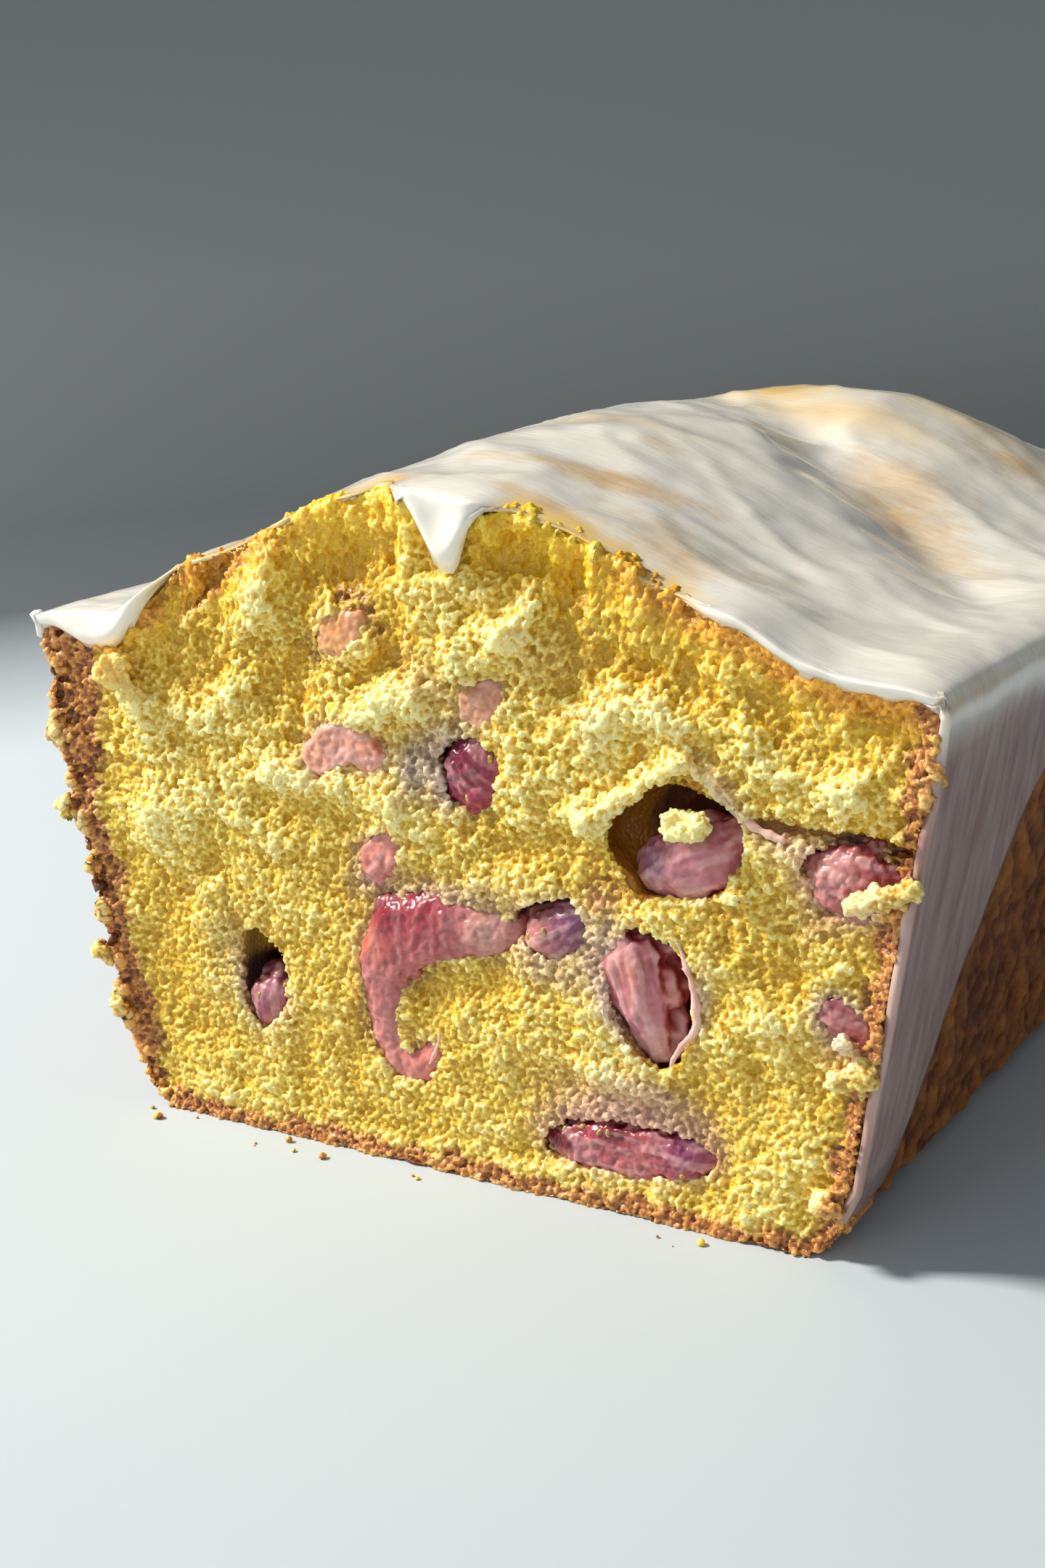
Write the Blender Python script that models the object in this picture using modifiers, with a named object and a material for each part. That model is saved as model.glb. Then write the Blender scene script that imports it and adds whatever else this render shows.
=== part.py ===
# Cut piece of an iced loaf cake with pieces of fruit in its crumb
# Metres, +Z up. The loaf rests on the plane z = 0, the middle of its length is at y = 0, and its cut
# face looks along -Y. The meshes are shaped from the cut face, and each object is then moved back.
import math

import bmesh
import bpy
from mathutils import Vector, noise

MM = 0.001

# Driving dimensions of the loaf, which was baked in a tapered tin
TOP_WIDTH = 114 * MM
BASE_WIDTH = 92 * MM
SHOULDER_HEIGHT = 61 * MM
TOP_LENGTH = 156 * MM
BASE_LENGTH = 145 * MM
CORNER_RADIUS = 13 * MM
BASE_ROUNDING = 2.5 * MM
RIM_RADIUS = 4 * MM
RIM_DROP = 1.8 * MM

# The domed crown between the two flat shoulders
CROWN_RISE = 18.5 * MM
CREST_X = -3 * MM
LEFT_SLOPE = 50 * MM
RIGHT_SLOPE = 56 * MM
CROWN_CENTRE_Y = 40 * MM
CROWN_REACH_Y = 116 * MM

# Swellings of the crown: x, y, half-length across, half-length along, height
SWELLINGS = (
    (1 * MM, 85 * MM, 6 * MM, 6 * MM, 2.0 * MM),
    (22 * MM, 93 * MM, 21 * MM, 20 * MM, 6.0 * MM),
    (-24 * MM, 60 * MM, 16 * MM, 22 * MM, 1.6 * MM),
    (-18 * MM, 118 * MM, 17 * MM, 15 * MM, 3.0 * MM),
    (12 * MM, 20 * MM, 12 * MM, 9 * MM, -1.0 * MM),
    (-36 * MM, 3 * MM, 5 * MM, 12 * MM, 2.2 * MM),
    (-44 * MM, 4 * MM, 4 * MM, 10 * MM, -1.5 * MM),
    (36 * MM, 2 * MM, 5 * MM, 9 * MM, 2.2 * MM),
)
# The baker's crack that crosses the crown, from its left end to its right end
CRACK_START = Vector((-6 * MM, 84 * MM))
CRACK_END = Vector((60 * MM, 30 * MM))
CRACK_WIDTH = 5 * MM
CRACK_DEPTH = 3.2 * MM

# Relief, which only goes inwards
CUT_RELIEF = 2.0 * MM
CUT_CRAG = 9 * MM
CRUST_RELIEF = 0.7 * MM
CRUST_CRAG = 7 * MM
TOP_INSET = 0.5 * MM

# How finely the body and the icing are divided, closer together at the walls and at the cut
BODY_CELLS = (26, 22, 17)
ICING_CELLS = (26, 22)
LIP_CUTS = 2
SKIRT_CUTS = 1
SKIRT_ROWS = 4
LIP_ROWS = 2
WALL_CROWDING = 0.25
CUT_CROWDING = 0.38
FRUIT_SIDES = 2

# Icing
ICING_GAP = 0.5 * MM
ICING_THICKNESS = 1.1 * MM
LOWEST_DRIP = 1.6 * MM
TONGUE_X = 2.2 * MM
TONGUE_LENGTH = 10 * MM
TONGUE_WIDTH = 3.2 * MM
POOL_X = -47 * MM
POOL_DROP = 3.0 * MM
POOL_WIDTH = 6 * MM
LIP = 0.8 * MM

# Height of the icing's lower edge on the right wall, at distances from the cut
RIGHT_EDGE = (
    (0, 1.6), (8.5, 1.6), (12, 5), (14.5, 12), (16.5, 20.5), (20.5, 24), (23.5, 29.5),
    (27, 36), (31, 39.5), (35, 42.5), (39, 48), (46, 53), (53, 50), (58, 36), (62, 12),
    (65, 1.6), (78, 1.6), (83, 9), (88, 28), (95, 44), (104, 49), (110, 40), (116, 22),
    (122, 17), (128, 30), (135, 46), (145, 52), (156, 48),
)
# The same on the end wall, from its right side to its left
END_EDGE = ((-57, 50), (-44, 38), (-36, 24), (-28, 38), (-14, 52), (0, 44), (9, 20),
            (16, 7), (24, 22), (34, 47), (46, 52), (57, 48))
# The same on the left wall, from the cut backwards
LEFT_EDGE = ((0, 58), (8, 59), (18, 55), (26, 44), (31, 38), (37, 46), (48, 56), (62, 57),
             (72, 42), (78, 21), (84, 15), (91, 34), (100, 54), (118, 56), (126, 47),
             (133, 40), (142, 51), (156, 50))

# Each piece of fruit: its own outline and the pocket it sits in, both as points
# x, z, half-width on the cut face in mm, then how deep it is for its width and how far it is recessed
FRUIT = {
    "fruit_core": dict(
        flesh=((3.0, 44.9, 1.6), (3.3, 46.6, 2.5), (3.4, 48.6, 2.6), (3.7, 50.6, 1.6)),
        pocket=((2.8, 44.0, 2.4), (2.6, 46.4, 3.7), (2.5, 48.8, 4.0), (2.6, 51.6, 2.6)),
        depth=1.3, recess=0.9,
    ),
    "fruit_smear": dict(
        flesh=((-17.6, 46.6, 1.0), (-15.4, 49.0, 1.7), (-12.6, 49.6, 1.6), (-9.4, 48.0, 1.1)),
        depth=1.2, recess=0.7,
    ),
    "fruit_patch": dict(
        flesh=((-10.8, 34.4, 1.0), (-10.0, 36.2, 1.9), (-8.9, 37.6, 1.7), (-7.8, 39.0, 0.9)),
        depth=1.3, recess=1.3,
    ),
    "fruit_arch": dict(
        flesh=((-3.6, 14.2, 1.1), (-5.6, 11.6, 1.7), (-8.6, 11.4, 1.6), (-10.4, 14.4, 1.6),
               (-10.6, 19.0, 2.2), (-10.0, 23.8, 3.1), (-7.4, 27.4, 3.4), (-3.2, 29.2, 3.3),
               (1.4, 29.4, 2.7), (5.2, 29.6, 2.0), (7.6, 29.8, 1.0)),
        depth=1.2, recess=0.8,
    ),
    "fruit_band": dict(
        flesh=((10.0, 30.2, 1.2), (12.2, 30.4, 2.0), (14.2, 31.2, 1.9), (15.6, 32.8, 1.1)),
        pocket=((8.0, 31.6, 1.6), (10.6, 31.4, 3.1), (13.8, 32.0, 3.3), (16.4, 33.6, 1.9)),
        depth=1.3, recess=1.2,
    ),
    "fruit_slice": dict(
        flesh=((22.8, 38.0, 1.4), (25.6, 39.2, 2.8), (29.0, 40.4, 3.8), (32.4, 42.0, 3.2),
               (35.0, 44.2, 1.3)),
        pocket=((18.6, 42.6, 1.4), (22.0, 42.2, 4.6), (27.0, 42.9, 7.0), (31.5, 43.6, 6.0),
                (35.2, 45.2, 2.8), (38.6, 45.3, 1.3)),
        depth=1.1, recess=1.2,
    ),
    "fruit_cone": dict(
        flesh=((25.6, 18.2, 1.1), (24.9, 21.2, 2.3), (23.8, 25.0, 3.3), (23.0, 28.4, 3.4),
               (23.6, 31.0, 2.2)),
        pocket=((25.8, 16.4, 1.4), (25.4, 20.0, 3.8), (24.7, 24.5, 5.7), (24.2, 28.5, 6.0),
                (25.0, 32.6, 3.2)),
        depth=1.1, recess=0.9,
    ),
    "fruit_base": dict(
        flesh=((11.6, 5.8, 0.9), (14.6, 6.3, 1.9), (19.0, 6.9, 2.4), (23.6, 7.1, 2.4),
               (27.6, 7.2, 1.9), (30.6, 7.4, 0.9)),
        pocket=((10.6, 6.0, 1.2), (14.4, 6.7, 2.7), (19.0, 7.5, 3.1), (23.6, 7.8, 3.1),
                (27.8, 7.7, 2.6), (31.6, 7.6, 1.2)),
        depth=1.3, recess=0.9,
    ),
    "fruit_left": dict(
        flesh=((-27.8, 13.8, 1.0), (-27.6, 15.8, 2.2), (-27.0, 17.8, 2.6), (-26.4, 19.6, 1.6)),
        pocket=((-28.0, 12.6, 1.3), (-27.8, 15.8, 3.2), (-27.4, 19.2, 4.1), (-28.4, 22.4, 3.2),
                (-29.6, 25.2, 1.4)),
        depth=1.3, recess=1.6,
    ),
    "fruit_side": dict(
        flesh=((43.6, 40.6, 0.9), (45.8, 41.0, 1.8), (48.2, 41.0, 2.3), (50.2, 40.4, 1.8)),
        pocket=((41.6, 43.0, 1.0), (44.8, 42.2, 2.9), (48.2, 41.8, 3.5), (51.0, 41.0, 2.4)),
        depth=1.3, recess=1.0,
    ),
    "fruit_edge": dict(
        flesh=((44.8, 27.6, 0.8), (46.2, 27.0, 1.3), (47.6, 26.2, 1.3), (48.8, 25.2, 0.7)),
        depth=1.4, recess=0.9,
    ),
    "fruit_high_left": dict(
        flesh=((-15.6, 60.4, 0.9), (-14.0, 61.4, 1.7), (-12.4, 62.4, 1.6), (-10.8, 63.0, 0.8)),
        depth=1.3, recess=1.4,
    ),
    "fruit_high_middle": dict(
        flesh=((3.2, 54.2, 0.8), (4.2, 55.4, 1.6), (5.6, 56.4, 1.5), (7.0, 57.0, 0.8)),
        depth=1.3, recess=1.1,
    ),
}
FRUIT_GAP = 0.5 * MM
ROOM_DEPTH = 1.15
HOLLOW_EXTRA_DEPTH = 2.2 * MM
CUTTER_FRONT = 6 * MM
FRUIT_ROUGHNESS = 0.25 * MM

# Colours, roughness
MATERIALS = {
    "crumb": ((0.80, 0.58, 0.20), 0.75),
    "icing": ((0.88, 0.86, 0.80), 0.25),
    "fruit": ((0.55, 0.13, 0.14), 0.30),
}


def clear_scene():
    for old in list(bpy.data.objects):
        bpy.data.objects.remove(old, do_unlink=True)


def new_collection(name, hidden=False):
    collection = bpy.data.collections.new(name)
    bpy.context.scene.collection.children.link(collection)
    collection.hide_render = hidden
    return collection


def make_materials():
    made = {}
    for name, (colour, roughness) in MATERIALS.items():
        material = bpy.data.materials.new(name)
        material.use_nodes = True
        shader = material.node_tree.nodes["Principled BSDF"]
        shader.inputs["Base Color"].default_value = (*colour, 1)
        shader.inputs["Roughness"].default_value = roughness
        made[name] = material
    return made


def object_from_bmesh(name, bm, collection, material=None):
    mesh = bpy.data.meshes.new(name)
    bm.to_mesh(mesh)
    bm.free()
    mesh.shade_smooth()
    obj = bpy.data.objects.new(name, mesh)
    obj.location.y = -TOP_LENGTH / 2
    if material:
        mesh.materials.append(material)
    collection.objects.link(obj)
    return obj


def between(value, low, high):
    """0 below low, 1 above high, and a smooth step between them."""
    share = min(1, max(0, (value - low) / (high - low)))
    return share * share * (3 - 2 * share)


def read_curve(points, at):
    """The height of a curve through these points, in metres, eased from each point to the next."""
    at_mm = at / MM
    for (x0, z0), (x1, z1) in zip(points, points[1:]):
        if at_mm <= x1:
            return (z0 + (z1 - z0) * between(at_mm, x0, x1)) * MM
    return points[-1][1] * MM


def crowded(u, v):
    """Moves even places across, from -1 to 1, and along, from 0 to 1, towards the walls and the cut."""
    return u * (1 + WALL_CROWDING * (1 - u * u)), v * (1 - CUT_CROWDING * (1 - v))


def top_point(u, v):
    """The place on the top, the envelope that the icing lies on, with its edge rounded over the walls."""
    x, y = plan_point(u, v, 1)
    inward = min((1 - abs(u)) * TOP_WIDTH / 2, (1 - v) * TOP_LENGTH)
    over = max(0, 1 - inward / RIM_RADIUS)
    return Vector((x, y, crown_height(x, y) - RIM_DROP * (1 - math.sqrt(1 - over * over))))


def crown_height(x, y):
    """Height of the top at a place in plan, without the rounding of its edge."""
    slope = LEFT_SLOPE if x < CREST_X else RIGHT_SLOPE
    across = math.cos(math.pi / 2 * min(1, abs(x - CREST_X) / slope)) ** 2
    along = max(0, 1 - ((y - CROWN_CENTRE_Y) / CROWN_REACH_Y) ** 2)
    height = SHOULDER_HEIGHT + CROWN_RISE * across * along
    shoulder = TOP_WIDTH / 2
    inside = between(shoulder - abs(x), 0, shoulder / 3) * between(TOP_LENGTH - y, 0, shoulder / 3)
    for cx, cy, rx, ry, rise in SWELLINGS:
        height += inside * rise * math.exp(-(((x - cx) / rx) ** 2) - ((y - cy) / ry) ** 2)
    along_crack = (CRACK_END - CRACK_START).normalized()
    offset = Vector((x, y)) - CRACK_START
    share = offset.dot(along_crack) / (CRACK_END - CRACK_START).length
    beside = abs(offset.dot(along_crack.orthogonal()))
    dip = between(share, -0.1, 0.25) * between(1 - share, -0.02, 0.2)
    return height - inside * CRACK_DEPTH * dip * math.exp(-((beside / CRACK_WIDTH) ** 2))


def plan_point(u, v, level):
    """A place in plan for u across from -1 to 1, v along from 0 to 1, at a level from 0, the base, to 1."""
    half = (BASE_WIDTH + (TOP_WIDTH - BASE_WIDTH) * level) / 2
    length = BASE_LENGTH + (TOP_LENGTH - BASE_LENGTH) * level
    x, y = abs(u) * half, v * length
    across, along = x - (half - CORNER_RADIUS), y - (length - CORNER_RADIUS)
    if across > 0 and along > 0:
        a, b = across / CORNER_RADIUS, along / CORNER_RADIUS
        x = half - CORNER_RADIUS + CORNER_RADIUS * a * math.sqrt(1 - b * b / 2)
        y = length - CORNER_RADIUS + CORNER_RADIUS * b * math.sqrt(1 - a * a / 2)
    return math.copysign(x, u), y


def on_wall(u, v):
    return abs(u) > 0.999 or v > 0.999


def outward(u, v):
    """The direction in plan in which the wall faces, at a place on the edge of the top."""
    step = 0.001
    if abs(u) > 1 - step:
        before, after = plan_point(u, v - step, 1), plan_point(u, v, 1)
        along = Vector(after) - Vector(before)
        return Vector((along.y, -along.x)).normalized() * math.copysign(1, u)
    before, after = plan_point(u - step, v, 1), plan_point(u + step, v, 1)
    along = Vector(after) - Vector(before)
    return Vector((-along.y, along.x)).normalized()


def crag(point, size, seed):
    """Rough relief from 0 to 1."""
    shifted = point / size + Vector((seed, seed * 2.3, seed * 0.7))
    return min(1, max(0, 0.5 + 0.6 * noise.fractal(shifted, 1, 2, 3)))


def divided_cube(cells):
    """A cube primitive, divided evenly along each axis."""
    bm = bmesh.new()
    bmesh.ops.create_cube(bm, size=1)
    for axis, count in enumerate(cells):
        edges = [
            e for e in bm.edges
            if abs(abs((e.verts[0].co - e.verts[1].co).normalized()[axis]) - 1) < 0.01
        ]
        bmesh.ops.subdivide_edges(bm, edges=edges, cuts=count - 1, use_grid_fill=True)
    return bm


def shape_body(bm):
    """Moves the points of a divided cube onto the tapered, domed loaf, with its relief."""
    for vert in bm.verts:
        u, v = crowded(vert.co.x * 2, vert.co.y + 0.5)
        level = vert.co.z + 0.5
        on_cut, on_top, on_base = v < 0.001, level > 0.999, level < 0.001
        at_wall = on_wall(u, v)
        x, y = plan_point(u, v, level)
        if on_base:
            x *= 1 - 2 * BASE_ROUNDING / BASE_WIDTH
            y *= 1 - BASE_ROUNDING / BASE_LENGTH
        point = Vector((x, y, level * (top_point(u, v).z - TOP_INSET)))
        if on_cut and not at_wall and not on_base:
            point.y += CUT_RELIEF * crag(point, CUT_CRAG, 3.1) * between(1 - level, 0, 0.06)
        if at_wall and not on_top:
            facing = outward(u, v)
            depth = CRUST_RELIEF * crag(point, CRUST_CRAG, 7.7)
            point.x -= facing.x * depth
            point.y -= facing.y * depth
        vert.co = point


def flatten_base(bm):
    """The base becomes one flat face to rest on."""
    base = [f for f in bm.faces if all(abs(v.co.z) < 1e-6 for v in f.verts)]
    bmesh.ops.dissolve_faces(bm, faces=base, use_verts=True)


def make_body(collection, material):
    bm = divided_cube(BODY_CELLS)
    shape_body(bm)
    flatten_base(bm)
    bmesh.ops.recalc_face_normals(bm, faces=bm.faces)
    return object_from_bmesh("cake", bm, collection, material)


def skirt_low(u, v):
    """Height of the icing's lower edge below a place on the edge of the top."""
    x, y = plan_point(u, v, 1)
    if v > 0.999 and abs(u) < 0.999:
        return read_curve(END_EDGE, x)
    return read_curve(RIGHT_EDGE if u > 0 else LEFT_EDGE, y)


def lip_drop(x):
    """How far the icing hangs over the cut: a tongue near the crest and a pool at the left shoulder."""
    tongue = TONGUE_LENGTH * math.exp(-(((x - TONGUE_X) / TONGUE_WIDTH) ** 2))
    pool = POOL_DROP * math.exp(-(((x - POOL_X) / POOL_WIDTH) ** 2))
    return LIP + tongue + pool


def icing_grid():
    """The icing's open sheet over the top, and each point of its edge with its u and v."""
    columns, rows = ICING_CELLS
    bm = bmesh.new()
    bmesh.ops.create_grid(bm, x_segments=columns, y_segments=rows, size=1)
    front = [e for e in bm.edges if all(v.co.y < -0.999 for v in e.verts)]
    walls = [e for e in bm.edges if e.is_boundary and e not in front]
    bmesh.ops.subdivide_edges(bm, edges=front, cuts=LIP_CUTS)
    bmesh.ops.subdivide_edges(bm, edges=walls, cuts=SKIRT_CUTS)
    places = {}
    for vert in bm.verts:
        u, v = crowded(vert.co.x, (vert.co.y + 1) / 2)
        if vert.is_boundary:
            places[vert] = (u, v)
        vert.co = top_point(u, v)
        vert.co.z += ICING_GAP
        if on_wall(u, v):
            vert.co += outward(u, v).to_3d() * ICING_GAP
        if v < 0.001:
            vert.co.y -= ICING_GAP
    return bm, places


def extruded_edge(bm, places):
    """Extrudes the open edge along these points, and gives the new points with their u and v."""
    edges = [e for e in bm.edges if e.is_boundary and all(v in places for v in e.verts)]
    made = bmesh.ops.extrude_edge_only(bm, edges=edges)["geom"]
    new = [g for g in made if isinstance(g, bmesh.types.BMVert)]
    return {
        vert: places[min(places, key=lambda old: (old.co - vert.co).length_squared)]
        for vert in new
    }


def hang_skirt(bm, places):
    """Hangs the sheet's edge down the walls in rows, each to its share of the way to the lower edge."""
    places = {vert: place for vert, place in places.items() if on_wall(*place)}
    taper = (TOP_WIDTH - BASE_WIDTH) / 2 / SHOULDER_HEIGHT
    for row in range(1, SKIRT_ROWS + 1):
        places = extruded_edge(bm, places)
        for vert, (u, v) in places.items():
            top = top_point(u, v)
            drop = (top.z - max(LOWEST_DRIP, skirt_low(u, v))) * row / SKIRT_ROWS
            top += outward(u, v).to_3d() * (ICING_GAP - drop * taper)
            vert.co = (top.x, top.y, top.z - drop)
            if v < 0.001:
                vert.co.y -= ICING_GAP


def hang_lip(bm, places):
    """Hangs the sheet's front edge a little way down the cut face."""
    places = {vert: place for vert, place in places.items() if place[1] < 0.001}
    for _ in range(LIP_ROWS):
        places = extruded_edge(bm, places)
        for vert in places:
            vert.co.z -= lip_drop(vert.co.x) / LIP_ROWS


def make_icing(collection, material):
    bm, places = icing_grid()
    hang_lip(bm, places)
    hang_skirt(bm, places)
    bmesh.ops.recalc_face_normals(bm, faces=bm.faces)
    icing = object_from_bmesh("icing", bm, collection, material)
    thickness = icing.modifiers.new("thickness", "SOLIDIFY")
    thickness.thickness = ICING_THICKNESS
    thickness.offset = 1
    return icing


def swept_blob(name, points, middle_y, back, front, collection, material=None):
    """A lump along a path on the cut face, with its own half-width at each point.

    back and front are its depths behind and before middle_y, for each metre of half-width
    where they are ratios, so a lump is flatter or deeper than it is wide.
    """
    curve = bpy.data.curves.new(name, "CURVE")
    curve.dimensions = "3D"
    curve.bevel_depth = 1
    curve.bevel_resolution = FRUIT_SIDES
    curve.use_fill_caps = True
    spline = curve.splines.new("POLY")
    spline.points.add(len(points) - 1)
    for knot, (x, z, radius) in zip(spline.points, points):
        knot.co = (x * MM, 0, z * MM, 1)
        knot.radius = radius * MM
    carrier = bpy.data.objects.new(name + "_path", curve)
    collection.objects.link(carrier)
    bpy.context.view_layer.update()
    evaluated = carrier.evaluated_get(bpy.context.evaluated_depsgraph_get())
    mesh = bpy.data.meshes.new_from_object(evaluated)
    bpy.data.objects.remove(carrier, do_unlink=True)
    bm = bmesh.new()
    bm.from_mesh(mesh)
    bpy.data.meshes.remove(mesh)
    bmesh.ops.remove_doubles(bm, verts=bm.verts, dist=1e-6)
    for vert in bm.verts:
        vert.co.y = middle_y + vert.co.y * (back if vert.co.y > 0 else front)
    bmesh.ops.recalc_face_normals(bm, faces=bm.faces)
    return object_from_bmesh(name, bm, collection, material)


def grown(points, by):
    """The same outline, wider and longer by this much all round."""
    wider = [(Vector((x, z)), radius + by) for x, z, radius in points]
    for end, inner in ((0, 1), (-1, -2)):
        place, radius = wider[end]
        wider[end] = (place + (place - wider[inner][0]).normalized() * by, radius)
    return [(*place, radius) for place, radius in wider]


def roughen(obj, amount, size, seed):
    """Uneven flesh: every point moves a little inwards."""
    obj.data.update()
    for vert in obj.data.vertices:
        vert.co -= vert.normal * amount * crag(vert.co, size, seed)


def make_fruit(collection, cutters, material):
    """Each piece of fruit, and the cutter of its pocket."""
    for seed, (name, piece) in enumerate(FRUIT.items()):
        widest = max(radius for _, _, radius in piece["flesh"]) * MM
        depth = piece["depth"]
        middle_y = piece["recess"] * MM + widest * depth
        flesh = swept_blob(name, piece["flesh"], middle_y, depth, depth, collection, material)
        roughen(flesh, FRUIT_ROUGHNESS, 2 * MM, seed)
        room = grown(piece["flesh"], FRUIT_GAP / MM)
        make_cutter(name + "_room", room, middle_y, depth * ROOM_DEPTH, cutters)
        if "pocket" in piece:
            hollow_widest = max(radius for _, _, radius in piece["pocket"]) * MM
            back = (widest * depth + HOLLOW_EXTRA_DEPTH) / hollow_widest
            make_cutter(name + "_hollow", piece["pocket"], middle_y, back, cutters)


def make_cutter(name, points, middle_y, back, cutters):
    widest = max(radius for _, _, radius in points) * MM
    cutter = swept_blob(name, points, middle_y, back, (middle_y + CUTTER_FRONT) / widest, cutters)
    cutter.hide_render = True
    cutter.display_type = "WIRE"


def cut_pockets(body, cutters):
    cut = body.modifiers.new("pockets", "BOOLEAN")
    cut.operation = "DIFFERENCE"
    cut.operand_type = "COLLECTION"
    cut.collection = cutters
    cut.solver = "EXACT"


def main():
    clear_scene()
    parts = new_collection("iced_loaf_piece")
    cutters = new_collection("cutters", hidden=True)
    materials = make_materials()
    body = make_body(parts, materials["crumb"])
    make_icing(parts, materials["icing"])
    make_fruit(parts, cutters, materials["fruit"])
    cut_pockets(body, cutters)


main()
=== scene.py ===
import math
import random

import bmesh
import bpy
import numpy as np
from mathutils import Matrix, Vector, noise
from mathutils.bvhtree import BVHTree


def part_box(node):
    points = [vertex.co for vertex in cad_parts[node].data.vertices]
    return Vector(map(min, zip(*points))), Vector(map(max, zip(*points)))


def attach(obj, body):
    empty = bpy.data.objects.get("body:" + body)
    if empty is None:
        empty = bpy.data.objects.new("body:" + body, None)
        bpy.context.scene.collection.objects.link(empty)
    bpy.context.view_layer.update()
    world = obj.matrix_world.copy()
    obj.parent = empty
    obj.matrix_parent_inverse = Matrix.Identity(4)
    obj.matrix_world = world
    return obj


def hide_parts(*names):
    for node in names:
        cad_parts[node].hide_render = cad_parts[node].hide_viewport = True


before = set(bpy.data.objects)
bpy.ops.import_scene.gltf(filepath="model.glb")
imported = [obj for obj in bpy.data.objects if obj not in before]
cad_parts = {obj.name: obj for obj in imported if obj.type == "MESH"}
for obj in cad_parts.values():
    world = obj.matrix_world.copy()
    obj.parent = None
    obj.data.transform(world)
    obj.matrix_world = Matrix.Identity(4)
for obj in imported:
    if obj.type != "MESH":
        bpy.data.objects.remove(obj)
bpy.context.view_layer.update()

mm = 0.001
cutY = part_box("cake")[0].y
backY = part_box("cake")[1].y
loaf = {
    "topWidth": 114 * mm,
    "baseWidth": 92 * mm,
    "shoulder": 61 * mm,
}
print("frame loaded, cut at", round(cutY, 4))


def selectOnly(*objects):
    if bpy.context.object and bpy.context.object.mode != "OBJECT":
        bpy.ops.object.mode_set(mode="OBJECT")
    bpy.ops.object.select_all(action="DESELECT")
    for obj in objects:
        obj.select_set(True)
    bpy.context.view_layer.objects.active = objects[0]


def joined(pieces):
    selectOnly(*pieces)
    bpy.ops.object.transform_apply(location=True, rotation=True, scale=True)
    bpy.ops.object.join()
    return bpy.context.object


def dressed(obj, material):
    obj.data.materials.append(material)
    selectOnly(obj)
    bpy.ops.object.shade_smooth()


def added(name, data):
    obj = bpy.data.objects.new(name, data)
    bpy.context.scene.collection.objects.link(obj)
    return obj


def copyOfNode(node, name):
    obj = added(name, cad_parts[node].data.copy())
    obj.data.materials.clear()
    selectOnly(obj)
    bpy.ops.object.mode_set(mode="EDIT")
    bpy.ops.mesh.select_all(action="SELECT")
    bpy.ops.mesh.remove_doubles(threshold=0.00001)
    bpy.ops.mesh.customdata_custom_splitnormals_clear()
    bpy.ops.object.mode_set(mode="OBJECT")
    return obj


def applied(obj, kind, **settings):
    selectOnly(obj)
    modifier = obj.modifiers.new(kind.lower(), kind)
    for key, value in settings.items():
        setattr(modifier, key, value)
    bpy.ops.object.modifier_apply(modifier=modifier.name)


def cutAway(obj, y, keepFront):
    # keeps what lies before or behind a plane across the loaf
    selectOnly(obj)
    bpy.ops.object.mode_set(mode="EDIT")
    bpy.ops.mesh.select_all(action="SELECT")
    bpy.ops.mesh.bisect(
        plane_co=(0, y, 0), plane_no=(0, 1, 0), use_fill=True,
        clear_inner=not keepFront, clear_outer=keepFront, threshold=0.00001,
    )
    bpy.ops.object.mode_set(mode="OBJECT")


def remeshed(obj, voxel):
    applied(obj, "REMESH", mode="VOXEL", voxel_size=voxel, use_smooth_shade=True)


def pointsOf(obj):
    co = np.empty(len(obj.data.vertices) * 3, np.float32)
    obj.data.vertices.foreach_get("co", co)
    return co.reshape(-1, 3).astype(float)


def normalsOf(obj):
    no = np.empty(len(obj.data.vertices) * 3, np.float32)
    obj.data.vertices.foreach_get("normal", no)
    return no.reshape(-1, 3).astype(float)


def storePoints(obj, co):
    obj.data.vertices.foreach_set("co", co.astype(np.float32).ravel())
    obj.data.update()


def averaged(obj, values, rounds):
    # each value becomes the mean of its own and its neighbours', again and again
    ends = np.empty(len(obj.data.edges) * 2, np.int32)
    obj.data.edges.foreach_get("vertices", ends)
    a, b = ends.reshape(-1, 2).T
    count = np.bincount(a, minlength=len(values)) + np.bincount(b, minlength=len(values)) + 1
    values = values.reshape(len(values), -1)
    for _ in range(rounds):
        total = values.copy()
        for i in range(values.shape[1]):
            total[:, i] += np.bincount(a, values[b, i], len(values))
            total[:, i] += np.bincount(b, values[a, i], len(values))
        values = total / count[:, None]
    return values


def relief(obj, co, rounds):
    # how far each place stands out of its smoothed surroundings
    return np.einsum("ij,ij->i", co - averaged(obj, co, rounds), normalsOf(obj))


def storeMask(obj, name, values):
    mask = obj.data.attributes.new(name, "FLOAT", "POINT")
    mask.data.foreach_set("value", np.clip(values, 0, 1).astype(np.float32).ravel())


def storeColour(obj, name, rgb):
    colours = np.ones((len(rgb), 4), np.float32)
    colours[:, :3] = rgb
    layer = obj.data.attributes.new(name, "FLOAT_COLOR", "POINT")
    layer.data.foreach_set("color", colours.ravel())


def ease(value, low, high):
    share = np.clip((value - low) / (high - low), 0, 1)
    return share * share * (3 - 2 * share)


def tiltedSpot(dx, dy, wide, tall, tilt):
    # 1 in the middle of a tilted oval, fading outwards
    turn = math.radians(tilt)
    a = (dx * math.cos(turn) + dy * math.sin(turn)) / wide
    b = (dy * math.cos(turn) - dx * math.sin(turn)) / tall
    return np.exp(-a * a - b * b)


def sideDistance(co):
    # how far a place is inside the left and right sides
    half = (loaf["baseWidth"] + (loaf["topWidth"] - loaf["baseWidth"]) * co[:, 2] / loaf["shoulder"]) / 2
    return half - np.abs(co[:, 0])


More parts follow.
